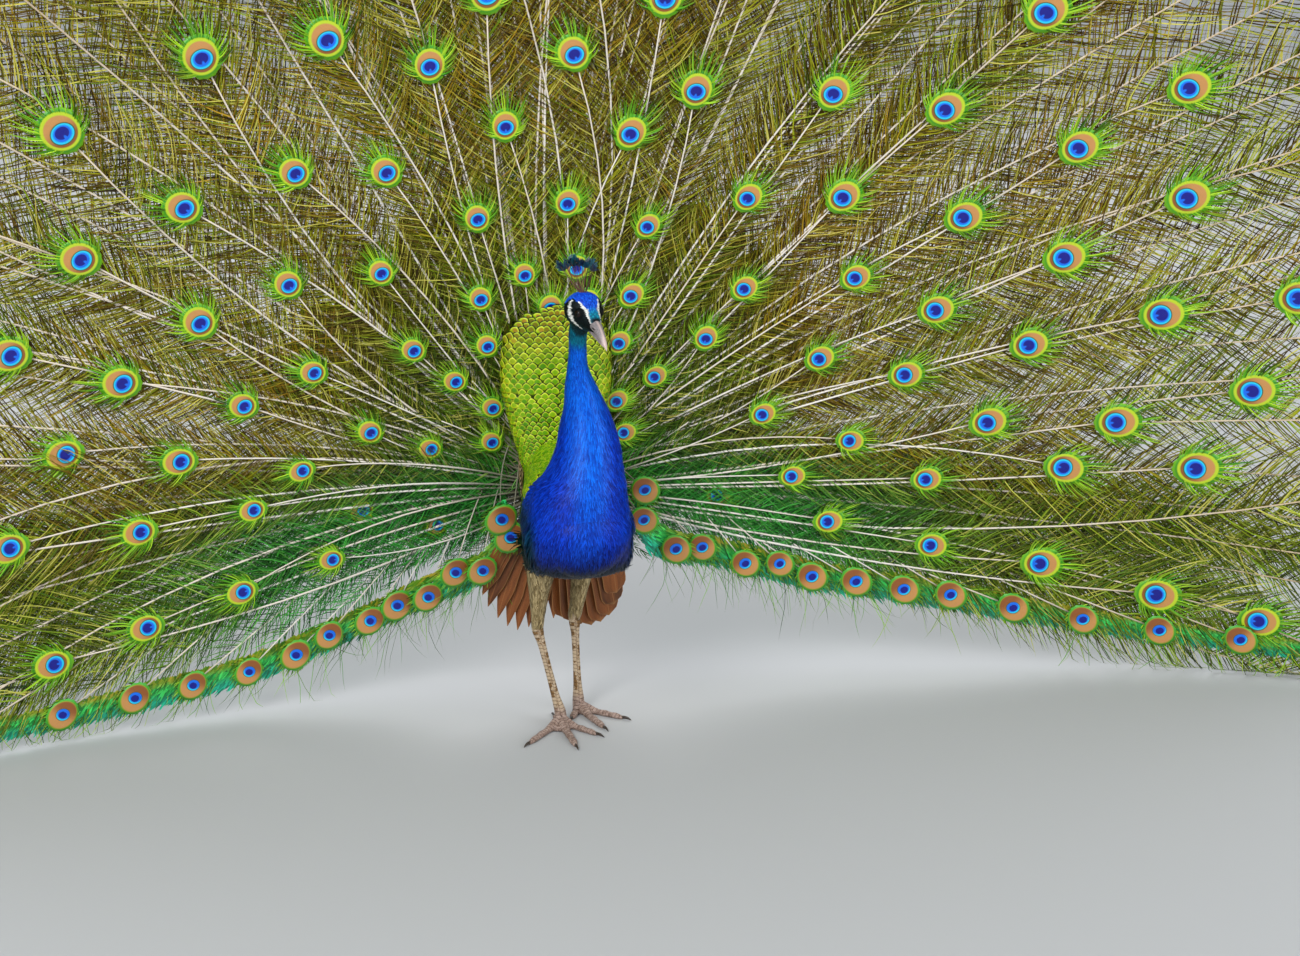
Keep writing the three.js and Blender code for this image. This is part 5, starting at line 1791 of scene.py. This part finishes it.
def ahead_at(f, r):
    """Distance in front of the fan: edge feathers come forward towards their tips."""
    return front[f] + end_front[f] * np.clip(r / reach[f], 0, 1) ** 2


def heading_at(f, r):
    """The way a feather runs at radius r, as a turn in the fan's plane."""
    return angle[f] + lean[f] * (1 - 2 * np.clip(r / reach[f], 0, 1))


def eye_place(f):
    """Middle of each feather's eyespot, the way it points, and its distance in front of the fan."""
    return (*along_feather(f, reach[f]), heading_at(f, reach[f]) + droop[f], ahead_at(f, reach[f]))


# %% [markdown]
# ## Shafts
# Each feather hangs on a pale, stiff shaft that tapers from about 4 mm to a hair. It is a five-sided
# tube along the feather's line, made as one mesh for the whole train.

# %% Shafts of the train
SHAFT_ROOT = 0.030  # where a shaft starts, counted from the fan's middle
LOW_SHAFT_ROOT = 0.004  # and in the lower part
SHAFT_SIDES = 5
SHAFT_STEPS = 9
SHAFT_THICK = 0.0020  # radius at the root
SHAFT_THIN = 0.0012  # and at its end, where a real one is a hair


def train_shafts():
    """Points, faces, layers and map of every shaft. It ends inside its eyespot or fork."""
    f = np.repeat(np.arange(count), SHAFT_STEPS + 1)
    t = np.tile(np.linspace(0, 1, SHAFT_STEPS + 1), count)
    end = reach - np.where(kind == "forked", 0.045, 0.35 * size) - np.where(kind == "short", 0.03, 0)
    r = lerp(np.where(origin_u[f] > 0, LOW_SHAFT_ROOT, SHAFT_ROOT), end[f], t)
    x, u = along_feather(f, r)
    radius = lerp(SHAFT_THICK, SHAFT_THIN, t ** 0.8) * lerp(0.7, 1.0, step(reach[f], 0.2, 0.9))
    turn = ring_turns(SHAFT_SIDES, 0.5)
    across = radius[:, None] * np.cos(turn)
    ahead = radius[:, None] * np.sin(turn) + ahead_at(f, r)[:, None] + 0.0012
    sx, su = -np.sin(angle[f])[:, None] * across, np.cos(angle[f])[:, None] * across
    points = on_fan(x[:, None] + sx, u[:, None] + su, ahead)
    faces = [repeated(part, count, (SHAFT_STEPS + 1) * SHAFT_SIDES)
             for part in tube_faces(SHAFT_SIDES, SHAFT_STEPS)]
    grain = np.repeat(np.stack([r, t, dice.random(count)[f]], 1), SHAFT_SIDES, 0)
    column = np.repeat(f, SHAFT_SIDES) + 0.1 + 0.8 * np.tile(np.arange(SHAFT_SIDES) / SHAFT_SIDES, len(f))
    return points, faces, {"grain": grain}, np.stack([column / count, grain[:, 1]], 1)


quill = Finish("quill", roughness=0.42)
radius_at, share, own = quill.coords("grain")
pale = quill.mix(own, "fffaf2", "eee2d2")
brownish = quill.mix(own, "b89a6c", "dcc6a0")
quill_colour = quill.mix(radius_at.smooth(0.45, 1.2) * 0.8 + share * 0.15, pale, brownish)
green_root = quill.mix(radius_at.smooth(0.19, 0.09) * 0.8, quill_colour, "4a5224")
quill_material = quill.finish(base_color=green_root)
points, faces, layers, uv = train_shafts()
build("train_shafts", points, faces, quill_material, [f"train_{k}" for k in range(1, 10)],
      layers, uv)

# %% [markdown]
# ## Barbs
# On a train feather the barbs are long and loose. They leave the shaft at about 45 degrees, bend
# towards the tip, and cross the barbs of the next feathers, so the fan looks woven. Hair particles
# would be lost in the export. Each barb is a narrow ribbon of four parts, bent in the fan's own
# plane: tens of thousands fit in a few meshes.

# %% One field of barbs
BARB_JOINTS = 4  # parts of a ribbon: three quads and a pointed end
BARB_WIDTH = 0.00125
BARB_FROM = 0.065  # the shafts are bare nearer to the middle than this
BARB_WANDER = 0.012  # how far a tip strays in front of or behind the fan
BARB_TWIST = 1.0  # most turn of a ribbon about its own length
BARB_LONG = (0.042, 0.112)  # near the body and far out
BARB_OPEN = (28, 52)  # degrees from the shaft, at a feather's tip and below it


def barb_ribbons(x, u, heading, length, bend, ahead, width):
    """Ribbons from (x, u): heading is the first direction, bend the turn on the way to the tip."""
    n = len(x)
    stray = BARB_WANDER * (dice.random(n) - 0.5)
    twist = BARB_TWIST * (dice.random(n) * 2 - 1)
    wave = 0.06 * np.sin(6.3 * dice.random(n)[:, None] + 2.2 * np.arange(BARB_JOINTS))
    points, share = [], []
    for k in range(BARB_JOINTS):
        head = heading + bend * (k + 0.5) / BARB_JOINTS + wave[:, k]
        half = width / 2 * (1 - 0.5 * k / BARB_JOINTS) * (0.85 + 0.75 * np.hypot(x, u))
        depth = ahead + stray * k / BARB_JOINTS
        for sign in (1, -1):
            flat, deep = sign * half * np.cos(twist), sign * half * np.sin(twist)
            points.append(on_fan(x - flat * np.sin(head), u + flat * np.cos(head), depth + deep))
            share.append(k / BARB_JOINTS)
        x = x + length / BARB_JOINTS * np.cos(head)
        u = u + length / BARB_JOINTS * np.sin(head)
    points.append(on_fan(x, u, ahead + stray))
    return np.stack(points, 1), np.array([*share, 1.0])


def barbs_of(chosen, spacing):
    """Feather, radius and side of each barb of the chosen feathers. One in ten is missing."""
    f, r, side = [], [], []
    for i in chosen:
        last = reach[i] - (0.012 if kind[i] == "forked" else 0.055 if on_edge[i] else 0.30 * size[i])
        spots = np.arange(BARB_FROM, last, spacing) if last > BARB_FROM else np.empty(0)
        for s in (1, -1):
            keep = dice.random(len(spots)) > 0.1
            f.append(np.full(keep.sum(), i))
            r.append(spots[keep] + dice.uniform(0, spacing, keep.sum()))
            side.append(np.full(keep.sum(), s))
    return np.concatenate(f), np.concatenate(r), np.concatenate(side)


def train_barbs(chosen, spacing):
    """What barb_ribbons needs for a layer of long feathers, and a grade of 0."""
    f, r, side = barbs_of(chosen, spacing)
    n = len(f)
    left = reach[f] - r
    x, u = along_feather(f, r)
    length = lerp(*BARB_LONG, step(r, 0.08, 0.75)) * dice.uniform(0.75, 1.15, n)
    length *= lerp(np.where(kind[f] == "forked", 0.55, 0.45), 1.0, step(left, 0.01, 0.13))
    length = np.where(in_low_part[f], np.minimum(length, 0.4 * reach[f]) * 0.8, length)
    open_angle = np.radians(lerp(*BARB_OPEN, step(left, 0.01, 0.12)) + dice.normal(0, 5, n))
    bend = -np.radians(dice.normal(20, 12, n)) * side
    return x, u, heading_at(f, r) + side * open_angle, length, bend, ahead_at(f, r), np.zeros(n)


# %% [markdown]
# The barbs are bronze and olive, darker at their tips, and a clear emerald near the body below the middle of
# the fan. Some are painted pale as a painted highlight, where the light comes through them. The colour
# follows the place of the barb's root and a number of its own, so that neighbours differ a little.

# %% The finish of the barbs
def barb_finish():
    barb = Finish("barb", roughness=0.50, specular_ior_level=0.2)
    x, u, own = barb.coords("root")
    _, share, grade = barb.coords("grain")
    far = (x * x + u * u) ** 0.5
    patch = barb.noise("root", 4.0) - 0.5
    other = (own * 7.31).maths("FRACT")
    bronze = barb.mix(own, "4c3002", "b08a1c")
    olive = barb.mix(own, "2c4c02", "88a80c")
    greener = (patch * 2.6 + (other - 0.5) * 0.9 + 0.44 - u * 0.12).limit(0.0, 1.0)
    near = far.smooth(0.42, 0.16) * 0.75
    below = u.smooth(0.06, -0.10) * 0.6
    low = (u + far * 0.10).smooth(0.110, 0.0) * far.smooth(0.68, 0.34) * 0.92
    # Pale barbs are a painted highlight, as of light shining through them.
    pale = other.smooth(0.78, 0.90) * (1 - low) * 0.6
    ends = grade * share.smooth(0.45, 1.0) * 0.6
    colour = barb.cover(barb.mix(greener, bronze, olive), (near, barb.mix(own, "14380c", "4f8a1a")),
                        (below, barb.mix(own, "3a6410", "74a024")),
                        (low, barb.mix(own, "0a5a1c", "3aae3e")), (pale, "d2c460"),
                        (grade * 0.9, barb.mix(own, "3c9c1c", "a8d42c")),
                        (ends, barb.mix(own, "5a5a14", "8f8a34")))
    return barb.finish(base_color=barb.shaded(colour, other.smooth(0.05, 0.60) + 0.26))


barb_material = barb_finish()
RIBBON_QUADS = np.array([[0, 1, 3, 2], [2, 3, 5, 4], [4, 5, 7, 6]])
RIBBON_TIP = np.array([[6, 7, 8]])


def barb_piece(name, fields, width=BARB_WIDTH):
    """One mesh of ribbons. The last field is a grade: 0 in the fan, 1 round the eyespots."""
    x, u, *shape, grade = fields
    points, share = barb_ribbons(x, u, *shape, width)
    n, k = points.shape[:2]
    root = np.repeat(np.stack([x, u, dice.random(n)], 1), k, 0)
    grain = np.stack([np.zeros(n * k), np.tile(share, n), np.repeat(grade, k)], 1)
    spot = np.stack([[0.0, 1.0] * BARB_JOINTS + [0.5], share], 1) * TUFT_PATCH
    uv = np.clip(fan_map(x, u)[:, None] + spot[None], 0, 1)
    faces = [repeated(part, n, k) for part in (RIBBON_QUADS, RIBBON_TIP)]
    build(name, points, faces, barb_material, (), {"root": root, "grain": grain}, uv)


# %% Barbs of the long feathers, from the shortest feathers to the longest
BARB_SPACING = 0.0037 * THIN_OUT
BARB_LAYERS = 6  # pieces, each with about as many barbs, by the feathers' reach
order = np.argsort(reach)
barbs_so_far = np.cumsum(np.maximum(reach[order] - BARB_FROM, 0))
layer_of = np.minimum((barbs_so_far / barbs_so_far[-1] * BARB_LAYERS).astype(int), BARB_LAYERS - 1)
for layer in range(BARB_LAYERS):
    barb_piece(f"train_barbs_{layer + 1}", train_barbs(order[layer_of == layer], BARB_SPACING))

# %% Short green barbs over the roots of the feathers
ROOT_BARBS = 3600 // THIN_OUT
ROOT_RADIUS = 0.125
ROOT_MIDDLE = 0.035  # up the fan


def root_barbs():
    """They start round the middle of the fan and hide the bare roots beside the body."""
    turn = dice.uniform(-pi, pi, ROOT_BARBS)
    far = ROOT_RADIUS * np.sqrt(dice.uniform(0.06, 1, ROOT_BARBS))
    x, u = far * np.cos(turn), ROOT_MIDDLE + far * np.sin(turn)
    heading = np.arctan2(u - 0.02, x) + dice.normal(0, 0.5, ROOT_BARBS)
    length = dice.uniform(0.020, 0.045, ROOT_BARBS)
    ahead = dice.uniform(0.004, 0.014, ROOT_BARBS)
    return x, u, heading, length, dice.normal(0, 0.4, ROOT_BARBS), ahead, np.zeros(ROOT_BARBS)


barb_piece("train_barbs_roots", root_barbs())

# %% [markdown]
# ## Eyespots
# An eyespot is a dense oval vane. From the middle out it is a heart-shaped indigo spot, a blue disc
# with a turquoise edge, a copper oval that is larger towards the tip, a pale yellow-green ring and a
# green fringe. The rings are drawn by distances in the shader from the vane's own coordinates, so
# they stay sharp at any size. The vane has a toothed edge, and loose barbs frame it.

# %% Eyespot vanes
EYE_RINGS = 5
EYE_SECTORS = 30
EYE_TEETH = 0.05  # every second point of the rim stands out by this share
EYE_THICK = 0.0005
EYE_BACK = 0.0009  # how far the rim lies behind the middle
EYE_AHEAD = 0.0065  # eyespots lie in front of most barbs
HALF_WIDE = 0.59  # in the eyespot's own measure
HALF_LONG = 0.69


def eye_vanes(chosen):
    """Closed, slightly domed ovals."""
    n = len(chosen)
    turn = ring_turns(EYE_SECTORS)
    ring = np.repeat(np.linspace(0.12, 1, EYE_RINGS)[:, None], EYE_SECTORS, 1)
    ring[-1] += EYE_TEETH * (np.arange(EYE_SECTORS) % 2)
    a = HALF_WIDE * ring * np.cos(turn) * (1 + 0.10 * np.sin(turn))
    b = HALF_LONG * ring * np.sin(turn)
    a, b, dome = [np.concatenate([[0], part.ravel()]) for part in (a, b, ring ** 2)]
    x, u, heading, ahead = [part[:, None] for part in eye_place(chosen)]
    across, along = size[chosen][:, None] * a, size[chosen][:, None] * b
    x, u = (x + along * np.cos(heading) - across * np.sin(heading),
            u + along * np.sin(heading) + across * np.cos(heading))
    middle = ahead + EYE_AHEAD - EYE_BACK * dome
    points = np.concatenate([on_fan(x, u, middle + half) for half in (EYE_THICK / 2, -EYE_THICK / 2)], 1)
    k = len(a)
    spoke = np.arange(EYE_SECTORS)
    following = (spoke + 1) % EYE_SECTORS
    fan = np.stack([0 * spoke, 1 + spoke, 1 + following], 1)
    web = grid_faces(EYE_SECTORS, EYE_RINGS - 1, closed=True) + 1
    rim = k - EYE_SECTORS
    wall = np.stack([rim + spoke, k + rim + spoke, k + rim + following, rim + following], 1)
    tris = np.concatenate([fan, fan[:, ::-1] + k])
    quads = np.concatenate([web[:, ::-1], web + k, wall])
    local = np.stack([np.tile(np.concatenate([a, a]), n), np.tile(np.concatenate([b, b]), n),
                      np.repeat(dice.random(n) + on_edge[chosen], 2 * k)], 1)
    columns = ceil(sqrt(n))
    cell = np.stack([np.arange(n) % columns, np.arange(n) // columns], 1)
    inside = np.stack([a, b], 1) / (2 * 1.10 * HALF_LONG) + 0.5
    halves = np.concatenate([inside, inside])[None] * [0.98, 0.98] + 0.01
    uv = (cell[:, None] + halves) / columns
    return points, [repeated(quads, n, 2 * k), repeated(tris, n, 2 * k)], {"grain": local}, uv


def eye_finish():
    spot = Finish("eyespot", roughness=0.36)
    x, y, own = spot.coords("grain")

    def ring(up, wide, long):
        return ((x / wide) ** 2 + ((y - up) / long) ** 2) ** 0.5

    lines = ((y - abs(x) * 0.9) * 130.0).maths("SINE")
    edge = own.smooth(0.99, 1.0)  # eyespots of the lower edge have 1 added to their number
    small = 1 - edge * 0.16
    pupil = ring(edge * 0.05 - 0.055, small * 0.190, small * 0.175).smooth(1.06, 0.95)
    notch = ring(-0.235, 0.045, 0.100).smooth(1.2, 0.7)
    blue = ring(edge * 0.06 - 0.080, small * 0.310, small * 0.290).smooth(1.04, 0.96)
    rim = ring(edge * 0.06 - 0.080, small * 0.338, small * 0.318).smooth(1.05, 0.95)
    copper = ring(0.0, edge * 0.08 + 0.430, edge * 0.10 + 0.480).smooth(1.05, 0.95)
    gold = ring(0.010, edge * 0.03 + 0.515, edge * 0.04 + 0.575).smooth(1.05, 0.95)
    azure = spot.mix(ring(-0.075, 0.27, 0.255).smooth(0.80, 1.08), "0c70f4", "22d8fc")
    bronze = spot.mix((y + abs(x) * 0.2).smooth(-0.30, 0.35), "96592a", "cf9556")
    green = spot.mix(own.maths("FRACT"), "1f8a1a", "46a81e")
    outer = spot.mix(ring(0.03, HALF_WIDE, HALF_LONG).smooth(1.04, 0.86),
                     spot.mix(edge, "7cc41c", "4cb834"), green)
    colour = spot.cover(outer, (gold, spot.mix(edge, "c4dc2a", "9aac20")), (copper, bronze),
                        (rim, "2f5a34"), (blue, azure), (pupil * (1 - notch), "0a148c"))
    spot.bump(lines, 0.18, 0.0003)
    return spot.finish(base_color=spot.shaded(colour, lines * 0.05 + 0.98))


eye_material = eye_finish()
has_eye = np.flatnonzero((kind == "eyed") | on_edge)
for name, side in SIDES.items():
    chosen = has_eye[side_of[has_eye] == side]
    points, faces, layers, uv = eye_vanes(chosen)
    build(f"eyespots_{name}", points, faces, eye_material, layers=layers, uv=uv)

# %% [markdown]
# Loose green barbs frame each eyespot. They start at its rim and sweep outward past it.

# %% Barbs round the eyespots
FRAME_BARBS = 66 // THIN_OUT
FRAME_TURN = 2.5  # from the eyespot's tip to each side, in radians


def eye_frames():
    chosen = np.repeat(has_eye, FRAME_BARBS)
    n = len(chosen)
    turn = np.tile(np.linspace(-FRAME_TURN, FRAME_TURN, FRAME_BARBS), len(has_eye)) + dice.normal(0, 0.05, n)
    x, u, heading, ahead = eye_place(chosen)
    a, b = 0.50 * size[chosen] * np.sin(turn), 0.58 * size[chosen] * np.cos(turn)
    x = x + b * np.cos(heading) - a * np.sin(heading)
    u = u + b * np.sin(heading) + a * np.cos(heading)
    length = size[chosen] * lerp(0.50, 1.0, np.cos(turn / 2) ** 2) * dice.uniform(0.6, 1.25, n)
    length *= np.where(on_edge[chosen], 0.45, 1)
    ahead = ahead + EYE_AHEAD - EYE_THICK - np.where(on_edge[chosen], 0.006, 0)
    return x, u, heading + turn * 0.62, length, turn * -0.30, ahead, np.ones(n)


barb_piece("train_barbs_eyes", eye_frames(), width=0.0013)

# %% [markdown]
# ## The lower edge of the fan
# Along each lower edge short, dense emerald feathers overlap like a thick fringe. They point down and
# outward, yellow-green at the top and turquoise at the bottom. A few hair-thin barbs hang below.

# %% Dense edge
EDGE_ROWS = 12
EDGE_SPACING = 0.0028 * THIN_OUT
EDGE_UPPER = -0.019  # where the uppermost row starts, above the edge's middle
EDGE_LOWER = 0.021
EDGE_FRONT = 0.0175  # distance in front of the fan
EDGE_ROW_BACK = 0.0007  # each row lies this far behind the one above
leaflet = Sheet(2, 3, lambda b: rounded(b, 1.6, 0))


def edge_length(edge):
    """Points of the lower edge, and how far each lies along it."""
    fine = curve(edge["line"], np.linspace(0, 1, 600))
    return fine, np.concatenate([[0], np.cumsum(np.linalg.norm(np.diff(fine, axis=0), axis=1))])


def edge_place(edge, travelled, below):
    """Places along the lower edge, counted from its start beside the body, or below it."""
    fine, so_far = edge_length(edge)

    def at(distance):
        return np.stack([np.interp(distance, so_far, fine[:, k]) for k in (0, 1)])

    x, u = at(travelled)
    ax, au = at(travelled + 0.01) - at(travelled - 0.01)
    long = np.hypot(ax, au)
    return edge["side"] * (x + below * au / long), u - below * ax / long


def edge_feathers(edge):
    """Points of the leaflets, their roots (across, up, below the edge's middle) and map places."""
    far = np.arange(0, edge_length(edge)[1][-1], EDGE_SPACING)
    row = np.tile(np.arange(EDGE_ROWS), len(far))
    far = np.repeat(far, EDGE_ROWS) + dice.uniform(-0.002, 0.002, len(row))
    taper = lerp(0.25, 1, step(far, 0, 0.11)) * lerp(1, 0.60, step(far, 0.35, 1.2))
    below = lerp(EDGE_UPPER, EDGE_LOWER, row / (EDGE_ROWS - 1)) * taper + dice.normal(0, 0.0012, len(far))
    x, u = edge_place(edge, far, below)
    ahead = EDGE_FRONT - EDGE_ROW_BACK * row + 0.006 * np.cos(1.2 * below / 0.034) + forward_bend(x)
    heading = -pi / 2 + edge["side"] * (0.75 + dice.normal(0, 0.16, len(far)))
    tip = on_fan(x + 0.01 * np.cos(heading), u + 0.01 * np.sin(heading), ahead)
    root = on_fan(x, u, ahead)
    length = dice.uniform(0.017, 0.027, len(far)) * taper
    normal = np.broadcast_to(FAN_FRONT, root.shape)
    points = leaflet.stamp(root, tip - root, normal, length, 0.0017, lift=0.14, curl=0.24, crown=0.35)
    return points, np.stack([x, u, below], 1), fan_map(x, u)


def edge_finish():
    fringe = Finish("edge_fringe", roughness=0.42)
    _, u, below = fringe.coords("root")
    _, share, own = fringe.coords("grain")
    emerald = fringe.mix(own, "16a040", "4cf06c")
    teal = fringe.mix(own, "0a8870", "24dcac")
    bronze_spots = (own + fringe.noise("root", 60.0) - 0.8).limit(0.0, 1.0)
    lime = fringe.mix(bronze_spots, fringe.mix(own, "4f9a18", "a8cc28"), "b98a30")
    down = below + share * 0.008
    upper = down.smooth(-0.002, -0.014) * u.smooth(-0.02, -0.09)
    colour = fringe.cover(emerald, (down.smooth(0.002, 0.018), teal), (upper, lime))
    return fringe.finish(base_color=fringe.shaded(colour, own * 0.5 + share * 0.35 + 0.5))


edge_material = edge_finish()
for name, edge in EDGES.items():
    leaflet.piece(f"train_edge_{name}", *edge_feathers(edge), edge_material, "train_band",
                  [f"train_band_{name}"])

# %% Wisps that hang below the edge
WISPS = 300 // THIN_OUT  # on each side
WISPS_NEAR_BODY = 100 // THIN_OUT
WISP_FRONT = 0.020
WISP_GRADE = 0.6  # how green they are


def hanging_wisps():
    parts = []
    for edge in EDGES.values():
        far = np.concatenate([dice.uniform(0.10, 1.25, WISPS), dice.uniform(0.10, 0.38, WISPS_NEAR_BODY)])
        x, u = edge_place(edge, far, 0.012)
        heading = -pi / 2 + edge["side"] * dice.normal(0.30, 0.40, len(far))
        length = dice.uniform(0.03, 0.120, len(far)) * dice.uniform(0.5, 1, len(far))
        bend = dice.normal(0, 0.4, len(far))
        ahead = WISP_FRONT + forward_bend(x)
        parts.append((x, u, heading, length, bend, ahead, np.full(len(far), WISP_GRADE)))
    return [np.concatenate(column) for column in zip(*parts)]


barb_piece("train_wisps", hanging_wisps(), width=0.0008)
